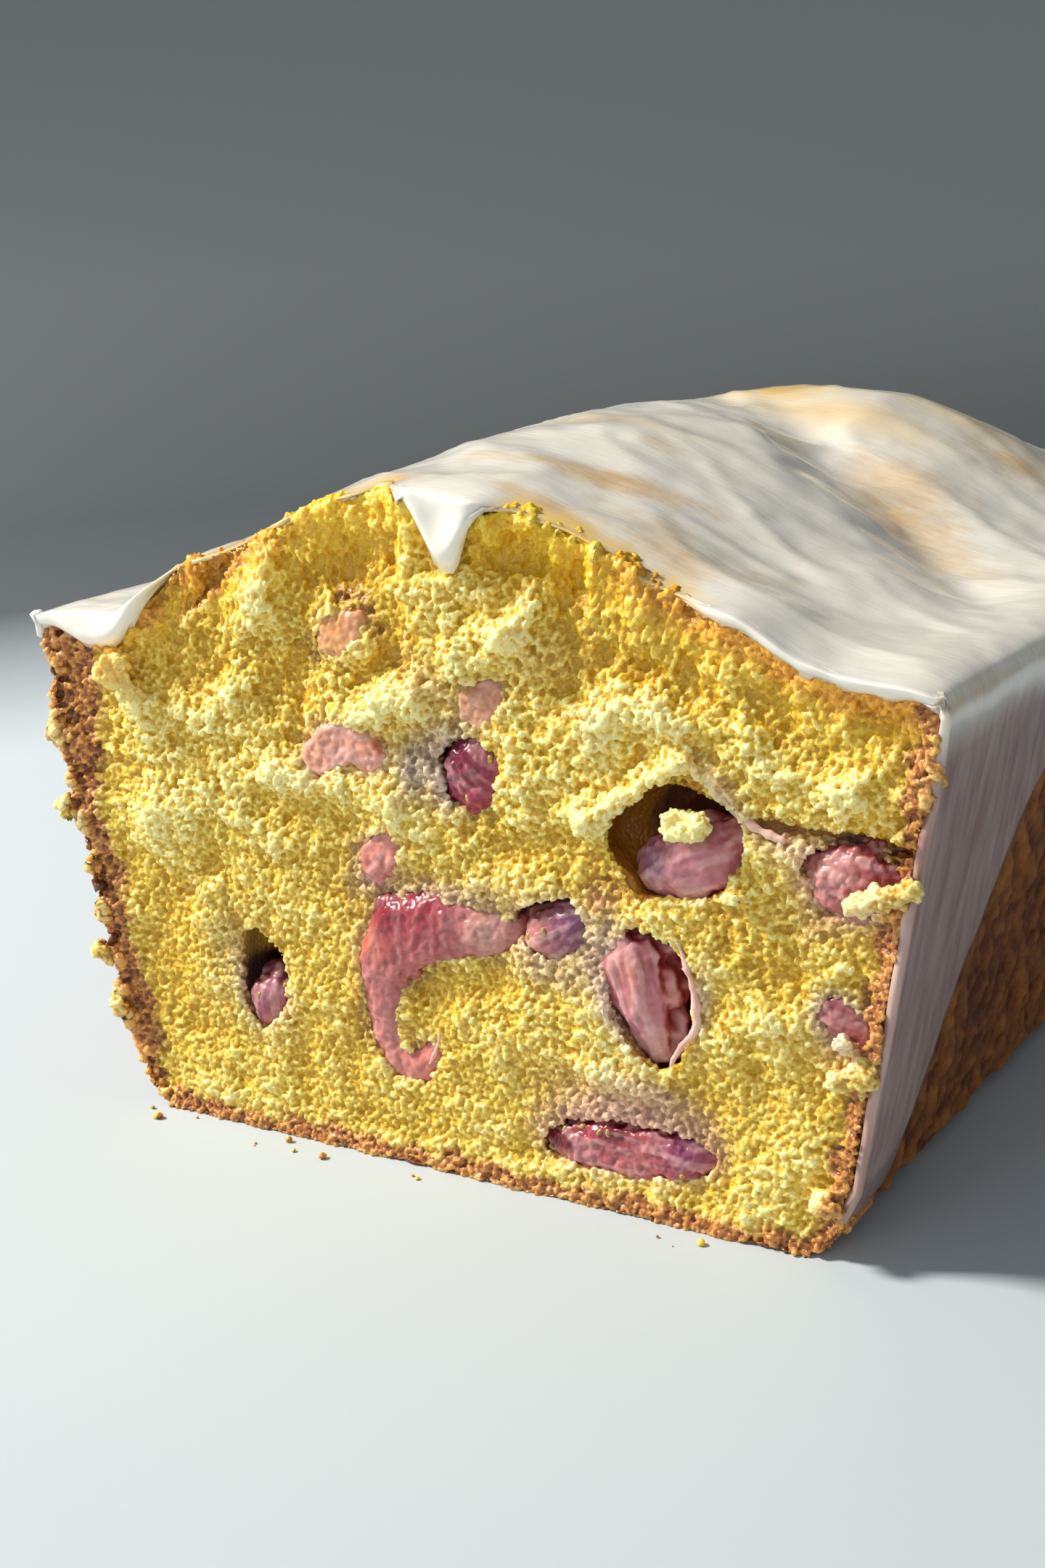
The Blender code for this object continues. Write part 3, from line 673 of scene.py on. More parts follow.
def makeCrumbFace(material):
    look = crumbFace
    obj = copyOfNode("cake", "crumbFace")
    cutAway(obj, cutY + look["depth"], True)
    addClumps(obj)
    remeshed(obj, look["roughVoxel"])
    co = pointsOf(obj)
    atFace = 1 - ease(co[:, 1] - cutY, 3 * mm, 7 * mm)
    for x0, z0, x1, z1, width, height in crumbRidges:
        co[:, 1] -= height * mm * atFace * capsuleWeight(co, x0, z0, x1, z1, width)
    storePoints(obj, co)
    remeshed(obj, look["voxel"])
    co = pointsOf(obj)
    near = distanceTo(treeOf(fruitPieces), co, 3 * mm)
    hollowTree = treeOf(["fruit_slice", "fruit_cone", "fruit_left"])
    atFace = 1 - ease(co[:, 1] - cutY, 2.6 * mm, 4.6 * mm)
    coarse = atFace * (0.55 + 0.45 * ease(co[:, 2], 20 * mm, 55 * mm))
    coarse *= 0.5 + 0.5 * ease(near, 0, 2.5 * mm)
    fine = atFace * (0.45 + 0.55 * ease(near, 0.3 * mm, 1.4 * mm))
    inner = ease(co[:, 1] - cutY, 1.6 * mm, 2.8 * mm)
    inner *= 1 - ease(distanceTo(hollowTree, co, 8 * mm), 5 * mm, 7 * mm)
    fine *= 1 - 0.85 * inner
    coarse *= 1 - inner
    coarseGroup, fineGroup = weightGroup(obj, "coarse", coarse), weightGroup(obj, "fine", fine)
    before, upward = pointsOf(obj)[:, 2], normalsOf(obj)[:, 2] > 0.4
    roughen(obj, cloudTexture("clumps", look["clumpSize"], 1, contrast=2.4), look["clumps"], 0.62, coarseGroup)
    roughen(obj, cloudTexture("lumps", look["lumpSize"], 1, contrast=2.0), look["lumps"], 0.5, coarseGroup)
    roughen(obj, cloudTexture("grains", look["grainSize"], 1, contrast=2.0), look["grains"], 0.5, fineGroup)
    leftFront = (co[:, 0] < 0) * (1 - ease(co[:, 1] - cutY, 3 * mm, 7 * mm))
    outer = np.maximum(0.35 * ease(co[:, 1] - cutY, 2 * mm, 5 * mm), leftFront)
    outer *= (1 - ease(sideDistance(co), 0.5 * mm, 2.5 * mm)) * (1 - ease(co[:, 2], 54 * mm, 58 * mm))
    roughen(obj, cragTexture(), look["crags"], 0.42, weightGroup(obj, "outer", outer))
    print("crumb face", len(obj.data.vertices))
    co = pointsOf(obj)
    places, heights = crownProfile()
    below = np.interp(co[:, 0], places, heights) - co[:, 2]
    edge = frontInset(co[:, 0])
    covered = upward & (co[:, 1] > cutY + edge) & (below < 4 * mm)
    co[covered, 2] = np.minimum(co[covered, 2], before[covered] + 0.2 * mm)
    front = (1 - ease(co[:, 1] - cutY - edge, 0, 2 * mm)) * (0.35 + 0.65 * slimShare(co[:, 0]))
    co[:, 2] += look["topFill"] * front * (1 - ease(below, 0, 10 * mm))
    co[:, 0] += np.sign(co[:, 0]) * look["sideFill"] * (1 - ease(sideDistance(co), 0, 3 * mm))
    swell = ease(co[:, 2], 0, 14 * mm) * (1 - ease(co[:, 2], 46 * mm, 57 * mm))
    swell *= 1 - ease(co[:, 1] - cutY, 3 * mm, 9 * mm)
    co[:, 0] -= look["swell"] * swell * (co[:, 0] < 0) * (1 - ease(sideDistance(co), 0, 12 * mm))
    face = 1 - ease(co[:, 1] - cutY, 3 * mm, 6 * mm)
    co[:, 1] += look["lean"] * face * slimShare(co[:, 0]) * np.clip(1 - below / (15 * mm), 0, 1) ** 1.4
    co[:, 2] = np.maximum(co[:, 2], 0)
    storePoints(obj, co)
    # painted shade and light: the crumb is darker in its hollows and the deeper it lies behind the cut, paler
    # where it stands out
    cavityShade = relief(obj, co, 14) / (0.30 * mm)
    depth = (co[:, 1] - cutY) / mm
    crust = crustShare(co, look["crustBand"])
    sunkShade = np.clip(depth - 0.9, -2, 3) * (1 - crust)
    storeMask(obj, "cavityShade", 0.5 + 0.38 * cavityShade - 0.24 * sunkShade)
    # the golden band under the icing, part moist crumb and part painted light
    storeMask(obj, "moist", 1 - ease(below, 1.0 * mm, 8 * mm))
    proud = 1 - 0.8 * ease(0.2 - depth, 0, 0.9) * ease(co[:, 2], 8 * mm, 14 * mm)
    storeMask(obj, "crust", crust * proud)
    stainCrumb(obj, co, depth, below)
    dressed(obj, material)
    splitStrips(obj, look)


def finishPiece(piece, slot, *nodes):
    if nodes:
        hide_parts(*nodes)
    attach(piece, "root")
    print(piece.name, sum(len(p.vertices) - 2 for p in piece.data.polygons), "triangles")


def splitStrips(obj, look):
    # the fine face is cut into upright strips, each a piece of its own, and loses its hidden back
    co = pointsOf(obj)
    shown = co[co[:, 1] < cutY + look["depth"] * 0.8]
    edges = np.quantile(shown[:, 0], np.linspace(0, 1, look["strips"] + 1)[1:-1])
    for i in range(look["strips"]):
        piece = added("crumbFace%d" % (i + 1), obj.data.copy())
        bm = bmesh.new()
        bm.from_mesh(piece.data)
        gone = []
        for face in bm.faces:
            centre = face.calc_center_median()
            own = int(np.searchsorted(edges, centre.x))
            hidden = centre.y > cutY + look["depth"] - 0.4 * mm and abs(face.normal.y) > 0.6
            if own != i or hidden:
                gone.append(face)
        bmesh.ops.delete(bm, geom=gone, context="FACES")
        bm.to_mesh(piece.data)
        bm.free()
        finishPiece(piece, "crumb", "cake")
    bpy.data.objects.remove(obj)


def crustMaterial():
    look = crustLook
    material, nodes, links, shader = newMaterial("crust", look["finish"])
    fine = grain(nodes, links, look["fineGrain"], 3, 0.65)
    patch = grain(nodes, links, look["patches"], 3)
    # painted shade and light: the crust is darker in its hollows and paler on its peaks, with random tone from
    # the grain and patches
    level = weightedSum(nodes, links, -0.41, (mask(nodes, "cavityShade"), 0.5), (fine, 0.35), (patch, 0.5))
    links.new(placed(nodes, links, "browned", Level=level), shader.inputs["Base Color"])
    bumped(nodes, links, shader, fine, 0.6, 0.5 * mm)
    return material


def makeCrust(material):
    look = crustLook
    obj = copyOfNode("cake", "crust")
    cutAway(obj, cutY + crumbFace["depth"] - 0.5 * mm, False)
    remeshed(obj, look["voxel"])
    roughen(obj, cragTexture(), look["crags"], 0.6)
    co = pointsOf(obj)
    co[:, 0] += np.sign(co[:, 0]) * crumbFace["sideFill"] * (1 - ease(sideDistance(co), 0, 3 * mm))
    co[:, 2] = np.maximum(co[:, 2], 0)
    storePoints(obj, co)
    # painted shade: the crust's hollows are stored darker and its peaks paler
    storeMask(obj, "cavityShade", 0.5 + relief(obj, co, 6) / (1.0 * mm))
    dressed(obj, material)
    finishPiece(obj, "crumb", "cake")


# Icing

icingSheet = {
    "across": 150,
    "along": 120,
    "rows": 20,
    "thickness": 1.0 * mm,
    "frontThickness": 0.22,
    "bead": 0.55 * mm,
    "beadReach": 2.6 * mm,
    "tongue": (2.2, 6.8, 2.7),
    "waves": 1.2 * mm,
    "waveSize": 12 * mm,
    "ripples": 0.3 * mm,
    "rippleSize": 3.0 * mm,
    "folds": 0.35 * mm,
    "frontSink": 0.7 * mm,
    "dripTip": 2.2 * mm,
    "dripSoft": 2.6 * mm,
}

# places where the icing is thin and the crust shows: x, y from the cut, reach across and along, tilt, strength.
# The spots at x 30 and 34 also paint the shade in the crack at the back right, and those at x -34 to -44 paint
# shade on the bright left slope
icingThin = (
    (12, 5, 10, 3.5, -12, 0.65), (-22, 3, 16, 3, 0, 0.5), (10, 20, 16, 5, 25, 0.6),
    (20, 12, 22, 16, 10, 0.4), (0, 34, 36, 24, 0, 0.3), (30, 60, 12, 20, 40, 0.55),
    (34, 88, 16, 12, 0, 0.4), (12, 62, 10, 4, 30, 0.4), (2, 85, 8, 8, 0, 0.5), (-30, 6, 12, 8, 0, 0.35),
    (-10, 4, 14, 5, 0, 0.5), (26, 8, 10, 6, 0, 0.45), (-22, 120, 14, 14, 0, 0.45),
    (20, 130, 14, 12, 0, 0.45), (-34, 34, 13, 18, 10, 0.34), (-38, 78, 11, 22, 0, 0.36),
    (-44, 122, 8, 16, 0, 0.36), (42, 112, 9, 18, 0, 0.34), (0, 146, 30, 6, 0, 0.36),
)
icingYellow = (
    (1, 85, 9, 7, 0, 0.85), (12, 78, 14, 5, 10, 0.6), (-2, 42, 10, 3, 10, 0.45), (24, 96, 12, 8, 0, 0.55),
)

icingLook = {
    "thick": (0.93, 0.86, 0.74),
    "thin": (0.78, 0.54, 0.29),
    "brown": (0.58, 0.34, 0.15),
    "yellow": (0.90, 0.58, 0.17),
    # the icing down the sides: thin over the brown crust, and darkened further as painted shade
    "curtain": (0.36, 0.195, 0.165),
    "run": (0.60, 0.42, 0.36),
    "clouds": 95,
    "streaks": (260, 1400, 420),
    "streakTurn": -35,
    "runs": (520, 520, 60),
    "finish": {
        "Roughness": 0.2, "Coat Weight": 0.5, "Coat Roughness": 0.06,
        "Subsurface Weight": 0.35, "Subsurface Radius": (1.0, 0.8, 0.6), "Subsurface Scale": 1.5 * mm,
    },
}


def stretchedNoise(nodes, links, scale, detail, turn=0):
    # streaks: noise squeezed across them, turned about the upright
    place = nodes.new("ShaderNodeTexCoord")
    stretch = nodes.new("ShaderNodeMapping")
    stretch.inputs["Rotation"].default_value = (0, 0, math.radians(turn))
    stretch.inputs["Scale"].default_value = scale
    links.new(place.outputs["Object"], stretch.inputs["Vector"])
    texture = nodes.new("ShaderNodeTexNoise")
    texture.inputs["Scale"].default_value = 1
    texture.inputs["Detail"].default_value = detail
    links.new(stretch.outputs["Vector"], texture.inputs["Vector"])
    return texture.outputs["Fac"]


def icingMaterial():
    look = icingLook
    material, nodes, links, shader = newMaterial("icing", look["finish"])
    cloud = grain(nodes, links, look["clouds"], 5, 0.6)
    streaks = stretchedNoise(nodes, links, look["streaks"], 3, look["streakTurn"])
    runs = stretchedNoise(nodes, links, look["runs"], 2)
    curtain = mask(nodes, "curtain")
    level = weightedSum(nodes, links, -0.6, (mask(nodes, "thin"), 1), (cloud, 0.9), (streaks, 0.3))
    colour = ramped(nodes, links, level, (0.26, look["thick"]), (0.62, look["thin"]), (1.0, look["brown"]))
    colour = mixNode(nodes, links, mask(nodes, "yellow"), colour, look["yellow"])
    run = ramped(nodes, links, runs, (0.3, look["curtain"]), (0.8, look["run"]))
    links.new(mixNode(nodes, links, curtain, colour, run), shader.inputs["Base Color"])
    bumped(nodes, links, shader, mixNode(nodes, links, curtain, streaks, runs), 0.2, 0.3 * mm)
    return material


# the icing's rim, from the CAD box: half its width, its back and the radius of its back corners
icingLow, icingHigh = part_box("icing")
rim = ((icingHigh.x - icingLow.x) / 2 - 0.4 * mm, icingHigh.y - 0.4 * mm, 14 * mm)


def rimPoint(u, v):
    # u across from -1 to 1, v along from 0 to 1, on a rectangle with two round corners at the back
    half, back, radius = rim
    x = u * half
    front = cutY - 0.6 * mm + frontInset(x)[0]
    y = front + v * (back - front)
    across, along = abs(x) - (half - radius), y - (back - radius)
    if across > 0 and along > 0:
        a, b = across / radius, along / radius
        x = math.copysign(half - radius + radius * a * math.sqrt(1 - b * b / 2), x)
        y = back - radius + radius * b * math.sqrt(1 - a * a / 2)
    return Vector((x, y, 0))


def makeIcing(material):
    look = icingSheet
    tree = treeOf(["icing"])
    bpy.ops.mesh.primitive_grid_add(x_subdivisions=look["across"], y_subdivisions=look["along"], size=2)
    obj = bpy.context.object
    obj.name = obj.data.name = "icingSheet"
    bm = bmesh.new()
    bm.from_mesh(obj.data)
    outward = {}
    for vert in bm.verts:
        u, v = vert.co.x, (vert.co.y + 1) / 2
        place = rimPoint(u, v * (0.7 + 0.3 * v))
        if vert.is_boundary:
            side = Vector((math.copysign(1, u), 0, 0))
            end = Vector((0, -1, 0)) if v < 0.001 else Vector((0, 1, 0))
            outward[vert] = side if abs(u) > 0.999 else end
        inner = place.copy()
        inner.x *= 1 - 2.4 * mm / loaf["topWidth"] if abs(u) > 0.98 else 1
        inner.y = min(max(inner.y, cutY - 1.2 * mm), backY - 0.3 * mm)
        hit = tree.ray_cast(Vector((inner.x, inner.y, 0.12)), Vector((0, 0, -1)))[0]
        vert.co = Vector((place.x, place.y, hit.z if hit else loaf["shoulder"]))
    loop = list(outward)
    # round corners face outwards along the rim's own curve
    half, back, radius = rim
    for vert in loop:
        x, y = abs(vert.co.x) - (half - radius), vert.co.y - (back - radius)
        if x > 0 and y > 0:
            outward[vert] = Vector((math.copysign(x, vert.co.x), y, 0)).normalized()
    drops = roundDrips(loop, outward, {vert: hangLength(tree, vert.co, outward[vert]) for vert in loop})
    tops = {vert: vert.co.copy() for vert in loop}
    current = {vert: vert for vert in loop}
    column = dict(current)
    for row in range(1, look["rows"] + 1):
        edges = [e for e in bm.edges if e.is_boundary]
        made = bmesh.ops.extrude_edge_only(bm, edges=edges)["geom"]
        fresh = [g for g in made if isinstance(g, bmesh.types.BMVert)]
        following = {}
        for vert in fresh:
            old = next(e.other_vert(vert) for e in vert.link_edges if e.other_vert(vert) in current)
            following[vert] = column[vert] = current[old]
        for vert, start in following.items():
            share = row / look["rows"]
            drop = drops[start] * share ** 1.15
            vert.co = hung(tree, tops[start], outward[start], drop, drops[start])
        current = following
    # nothing spans the corner between the short front edge and the long curtain
    wide = []
    for face in bm.faces:
        fronts = [outward[column[v]].y < -0.9 for v in face.verts if v in column]
        longest = max(edge.calc_length() for edge in face.edges)
        if len(fronts) == 4 and len(set(fronts)) == 2 and longest > 3 * mm:
            wide.append(face)
    bmesh.ops.delete(bm, geom=wide, context="FACES")
    bmesh.ops.recalc_face_normals(bm, faces=bm.faces)
    bm.to_mesh(obj.data)
    bm.free()
    relaxIcing(obj)
    finishIcing(obj, material)


def roundDrips(loop, outward, drops):
    # widens each drip's tip and evens out its sides, but leaves the front edge alone
    rest = [vert for vert in loop if outward[vert].y > -0.9]
    places = np.array([vert.co for vert in rest])[:, :2]
    lengths = np.array([drops[vert] for vert in rest])
    apart = np.linalg.norm(places[:, None] - places[None], axis=2)
    widest = np.array([lengths[row < icingSheet["dripTip"]].max() for row in apart])
    weights = np.exp(-((apart / icingSheet["dripSoft"]) ** 2))
    drops.update(zip(rest, weights @ widest / weights.sum(axis=1)))
    return drops


def hangLength(tree, top, outward):
    # how far the CAD icing reaches down from this place on the rim
    if outward.y < -0.9:
        reach = 0
        for step in range(1, 60):
            z = top.z - step * 0.25 * mm
            if not tree.ray_cast(Vector((top.x, top.y - 10 * mm, z)), Vector((0, 1, 0)), 14 * mm)[0]:
                break
            reach = step * 0.25 * mm
        pooled = 1 - float(slimShare(top.x))
        x, length, width = icingSheet["tongue"]
        if abs(top.x - x * mm) < 12 * mm:
            aside = top.x / mm - x
            root, tip = 1.1 * math.exp(-((aside / 5) ** 2)), length * math.exp(-((aside / width) ** 4))
            reach = (0.6 + root + tip) * mm
        return max(reach * pooled + (0.3 + 0.9 * pooled) * ragged(top.x, 8, 2.2, 0.9) * mm, 0.3 * mm)
    reach = 0
    for step in range(4, 160):
        z = top.z - step * 0.4 * mm
        if z < 1.4 * mm:
            break
        origin = Vector((top.x, top.y, z)) + outward * 12 * mm
        if not tree.ray_cast(origin, -outward, 32 * mm)[0]:
            break
        reach = step * 0.4 * mm
    higher = 0.94 if outward.x > 0.9 else 1
    return max(reach * higher, 2 * mm)


def hung(tree, top, outward, drop, whole):
    # a place on the icing's outside, this far down from the rim
    look = icingSheet
    if outward.y < -0.9:
        place = Vector((top.x, top.y - 0.15 * mm, top.z - drop))
    else:
        taper = (loaf["topWidth"] - loaf["baseWidth"]) / 2 / loaf["shoulder"]
        place = top - outward * drop * taper
        place.z = top.z - drop
        near = math.exp(-(place.y - cutY) / (5 * mm)) * min(drop / (4 * mm), 1)
        place.y += near * (1.0 + 1.6 * ragged(place.z, 1, 4.0, 1.3)) * mm
    left = (whole - drop) / look["beadReach"]
    bead = look["bead"] * math.exp(-((left - 0.7) ** 2) * 3)
    curl = look["thickness"] * 0.8 * (1 - math.sqrt(max(0, 1 - max(0, 1 - left * 2.2) ** 2)))
    return place + outward * (bead - curl)


def relaxIcing(obj):
    # evens out the facets of the CAD solid, and rounds the rim
    co = pointsOf(obj)
    smooth = averaged(obj, co, 6)
    bm = bmesh.new()
    bm.from_mesh(obj.data)
    border = np.array([v.is_boundary for v in bm.verts])
    bm.free()
    smooth[border] = co[border]
    storePoints(obj, smooth)


def onTop(co):
    return ease(co[:, 2], loaf["shoulder"] - 4 * mm, loaf["shoulder"])


def spotWeight(co, spots):
    weight = np.zeros(len(co))
    for x, y, across, along, tilt, strength in spots:
        spot = tiltedSpot(co[:, 0] / mm - x, (co[:, 1] - cutY) / mm - y, across, along, tilt)
        weight = np.maximum(weight, strength * spot)
    return weight


def finishIcing(obj, material):
    look = icingSheet
    co = pointsOf(obj)
    top = onTop(co)
    aside = loaf["topWidth"] / 2 - np.abs(co[:, 0])
    inland = np.minimum(ease(co[:, 1] - cutY, 0, 10 * mm), ease(aside, 0, 8 * mm))
    along, across = co[:, 0] * 0.94 - co[:, 1] * 0.34, co[:, 0] * 0.34 + co[:, 1] * 0.94
    folds = np.array([noise.noise(Vector((a, b, 2))) for a, b in zip(along / (26 * mm), across / (11 * mm))])
    near = (1 - ease(co[:, 1] - cutY, 1 * mm, 8 * mm)) * slimShare(co[:, 0])
    co[:, 2] -= look["frontSink"] * near * top
    co[:, 2] += look["folds"] * top * inland * (1 - 2 * np.abs(folds)).clip(0, 1) ** 3
    storePoints(obj, co)
    waveGroup = weightGroup(obj, "waves", top * inland)
    roughen(obj, cloudTexture("waves", look["waveSize"], 1), look["waves"], 0.5, waveGroup)
    roughen(obj, cloudTexture("ripples", look["rippleSize"], 2), look["ripples"], 0.5)
    thickGroup = weightGroup(obj, "thick", 1 - (1 - look["frontThickness"]) * near)
    applied(obj, "SOLIDIFY", thickness=look["thickness"], offset=-1, vertex_group=thickGroup)
    co = pointsOf(obj)
    rimEdge = np.exp(-(((np.abs(co[:, 0]) - rim[0] + 0.4 * mm) / (1.4 * mm)) ** 2))
    rimEdge *= np.exp(-(((co[:, 2] - 60 * mm) / (1.8 * mm)) ** 2))
    curtain = 1 - ease(co[:, 2], 54 * mm, 60 * mm)
    thin = spotWeight(co, icingThin) * ease(co[:, 2], 58 * mm, 62 * mm) + 0.45 * rimEdge
    storeMask(obj, "curtain", curtain * (1 - rimEdge))
    storeMask(obj, "thin", thin)
    edge = 1 - ease(co[:, 1] - cutY - frontInset(co[:, 0]), 0.3 * mm, 3.5 * mm)
    edge *= slimShare(co[:, 0]) * onTop(co)
    yellow = spotWeight(co, icingYellow) * ease(co[:, 2], 64 * mm, 70 * mm)
    storeMask(obj, "yellow", np.maximum(yellow, 0.8 * edge))
    dressed(obj, material)
    finishPiece(obj, "icing", "icing")


# Fruit

fruitLook = {
    "voxel": 0.22 * mm,
    "folds": 0.5 * mm,
    "foldSize": 2.8 * mm,
    "rim": 1.7 * mm,
    "rimSize": 2.6 * mm,
    "fibres": 0.16 * mm,
    "fibreSize": (0.9 * mm, 4.5 * mm),
    "pulpSize": 0.8 * mm,
    "grain": 1300,
    "vein": (0.80, 0.52, 0.47),
    # painted shade, multiplied into the flesh's creases
    "deep": (0.62, 0.34, 0.38),
    "finish": {
        "Roughness": 0.27,
        "Subsurface Weight": 0.5, "Subsurface Radius": (1.0, 0.4, 0.35), "Subsurface Scale": 1.2 * mm,
    },
}


def fruitMaterial():
    look = fruitLook
    material, nodes, links, shader = newMaterial("fruit", look["finish"])
    fine = grain(nodes, links, look["grain"], 3, 0.6)
    fibre = weightedSum(nodes, links, -0.22, (fine, 0.5), (mask(nodes, "fibre"), 1))
    veins = ramped(nodes, links, fibre, (0.45, (0, 0, 0)), (0.75, (1, 1, 1)))
    pale = mathNode(nodes, links, "MULTIPLY", veins, mask(nodes, "pale"))
    colour = mixNode(nodes, links, pale, mask(nodes, "flesh", "Color"), look["vein"])
    deep = mixNode(nodes, links, 1.0, colour, look["deep"], "MULTIPLY")
    links.new(mixNode(nodes, links, mask(nodes, "cavityShade"), deep, colour), shader.inputs["Base Color"])
    bumped(nodes, links, shader, fine, 0.25, 0.2 * mm)
    return material


def fibreNoise(co, along):
    # stretched noise: fine across the flesh, long down it
    across = np.array((along[1], -along[0]))
    wide, tall = fruitLook["fibreSize"]
    a, b = co[:, (0, 2)] @ across / wide, co[:, (0, 2)] @ along / tall
    c = co[:, 1] / (2 * wide)
    return np.array([noise.noise(Vector(place)) for place in zip(a, c, b)])


def makeFruit(name, look, material):
    words = name.split("_")
    obj = copyOfNode(name, words[0] + "".join(word.capitalize() for word in words[1:]))
    remeshed(obj, fruitLook["voxel"])
    grow, growOut = look["grow"]
    co = averaged(obj, pointsOf(obj), 8)
    storePoints(obj, co)
    co += normalsOf(obj) * np.array((grow, growOut, grow)) * mm
    co[:, (0, 2)] += np.array(look.get("shift", (0, 0))) * mm
    start, end = (np.array(p) * mm for p in look["ends"])
    along = (end - start) / np.linalg.norm(end - start)
    if "flat" in look:
        # the knife's flat, a little aslant and uneven
        depth, lean = look["flat"]
        plane = cutY + depth * mm + lean * (co[:, 0] - co[:, 0].mean())
        behind = co[:, 1] - plane
        co[:, 1] = plane + np.where(behind > 0, behind, behind * 0.18)
    storePoints(obj, co)
    remeshed(obj, fruitLook["voxel"])
    co = pointsOf(obj)
    fibres = fibreNoise(co, along)
    co += normalsOf(obj) * (fruitLook["fibres"] * look["pale"] * 1.5 * fibres)[:, None]
    storePoints(obj, co)
    rimGroup = weightGroup(obj, "rim", ease(normalsOf(obj)[:, 1], -0.85, -0.2))
    roughen(obj, cloudTexture("rim", fruitLook["rimSize"], 1, contrast=1.6), fruitLook["rim"], 0.5, rimGroup)
    roughen(obj, cloudTexture("folds", fruitLook["foldSize"], 1, contrast=1.4), fruitLook["folds"], 0.5)
    roughen(obj, cloudTexture("pulp", fruitLook["pulpSize"], 1, contrast=1.4), look.get("pulp", 0.16) * mm, 0.5)
    co = pointsOf(obj)
    # painted shade: the flesh is darker in its creases
    storeMask(obj, "cavityShade", 0.7 + 0.35 * relief(obj, co, 8) / (0.12 * mm))
    storeMask(obj, "fibre", 0.5 + fibres)
    span = end - start
    share = np.clip((co[:, (0, 2)] - start) @ span / (span @ span), 0, 1)[:, None]
    first, second = (np.array(c) for c in look["colours"])
    rgb = first * (1 - share) + second * share
    for x, z, reach, colour in look.get("spots", ()):
        away = np.hypot(co[:, 0] - x * mm, co[:, 2] - z * mm) / (reach * mm)
        spot = np.exp(-away * away)[:, None]
        rgb = rgb * (1 - spot) + np.array(colour) * spot
    skin = ease(-normalsOf(obj)[:, 1], 0.15, 0.75)[:, None]
    rgb = rgb * (skin + (1 - skin) * np.array(look.get("skin", (0.95, 0.72, 0.72))))
    storeColour(obj, "flesh", rgb)
    storeMask(obj, "pale", look["pale"] * skin[:, 0])
    dressed(obj, material)
    finishPiece(obj, "fruit", name)
    return obj


skinLook = {
    "voxel": 0.2 * mm,
    "folds": 0.5 * mm,
    "foldSize": 1.4 * mm,
    "grain": 260,
    "colours": ((0.3, (0.74, 0.40, 0.33)), (0.7, (0.86, 0.62, 0.50))),
    "finish": {
        "Roughness": 0.25,
        "Subsurface Weight": 0.4, "Subsurface Radius": (1.0, 0.5, 0.4), "Subsurface Scale": 1.2 * mm,
    },
}

# pale smooth skins along the hollows' edges: radius, how far out, and points x, z
fruitSkins = (
    (0.50, -0.45, (30.6, 51.4), (32.9, 49.4), (35.6, 47.0), (37.4, 45.8), (40.5, 45.0)),
    (0.42, -0.5, (28.2, 32.4), (29.6, 29.0), (30.3, 25.6), (30.3, 22.8), (28.4, 21.0), (27.0, 18.4)),
    (0.24, 0.2, (-3.6, 13.0), (-2.4, 15.0), (-1.9, 17.0)),
)


def makeSkins(material):
    skins = []
    for radius, out, *path in fruitSkins:
        curve = bpy.data.curves.new("skin", "CURVE")
        curve.dimensions = "3D"
        curve.bevel_depth = radius * mm
        curve.bevel_resolution = 3
        curve.use_fill_caps = True
        spline = curve.splines.new("NURBS")
        spline.points.add(len(path) - 1)
        for i, (x, z) in enumerate(path):
            spline.points[i].co = (x * mm, cutY + 0.35 * mm - out * mm, z * mm, 1)
            spline.points[i].radius = 0.45 + 0.65 * math.sin(math.pi * (i + 0.6) / (len(path) + 0.2))
        spline.use_endpoint_u = True
        spline.order_u = 3
        spline.resolution_u = 8
        skins.append(added("skin", curve))
    selectOnly(*skins)
    bpy.ops.object.convert(target="MESH")
    bpy.ops.object.join()
    obj = bpy.context.object
    obj.name = obj.data.name = "fruitSkins"
    remeshed(obj, skinLook["voxel"])
    roughen(obj, cloudTexture("skinFolds", skinLook["foldSize"], 1), skinLook["folds"])
    dressed(obj, material)
    finishPiece(obj, "fruit")


looseCrumbs = {
    "count": 18,
    "small": 0.16 * mm,
    "large": 0.8 * mm,
    "gap": 1 * mm,
    "spread": 3.2 * mm,
    "lumps": 0.35 * mm,
    "lumpSize": 0.7 * mm,
}


def makeLooseCrumbs(material):
    # crumbs fallen at the foot of the cut and of the left side
    look = looseCrumbs
    dice = random.Random(11)
    crumbs = []
    for i in range(look["count"]):
        size = look["small"] + (look["large"] - look["small"]) * dice.random() ** 3
        away = look["gap"] + size + look["spread"] * dice.random() ** 1.5
        x, y = dice.uniform(-46, 46) * mm, cutY - away
        if i % 4 == 0:
            x, y = -loaf["baseWidth"] / 2 - away, cutY + dice.uniform(0, 40) * mm
        place = Vector((x, y, size * 0.7))
        bpy.ops.mesh.primitive_ico_sphere_add(subdivisions=3, radius=size, location=place)
        crumb = bpy.context.object
        crumb.scale = (dice.uniform(0.8, 1.3), dice.uniform(0.8, 1.2), dice.uniform(0.6, 0.9))
        crumbs.append(crumb)
    obj = joined(crumbs)
    obj.name = obj.data.name = "looseCrumbs"
    roughen(obj, cloudTexture("crumbLumps", look["lumpSize"]), look["lumps"])
    co = pointsOf(obj)
    co[:, 2] = np.maximum(co[:, 2], 0.02 * mm)
    storePoints(obj, co)
    # painted light and shade: the crumbs' tops are paler and their undersides darker
    storeMask(obj, "cavityShade", 0.4 + 0.3 * normalsOf(obj)[:, 2])
    storeMask(obj, "moist", np.full(len(co), 0.35))
    storeMask(obj, "crust", 0.9 * (np.sin(co[:, 0] * 2100) > -0.2))
    dressed(obj, material)
    finishPiece(obj, "crumb")


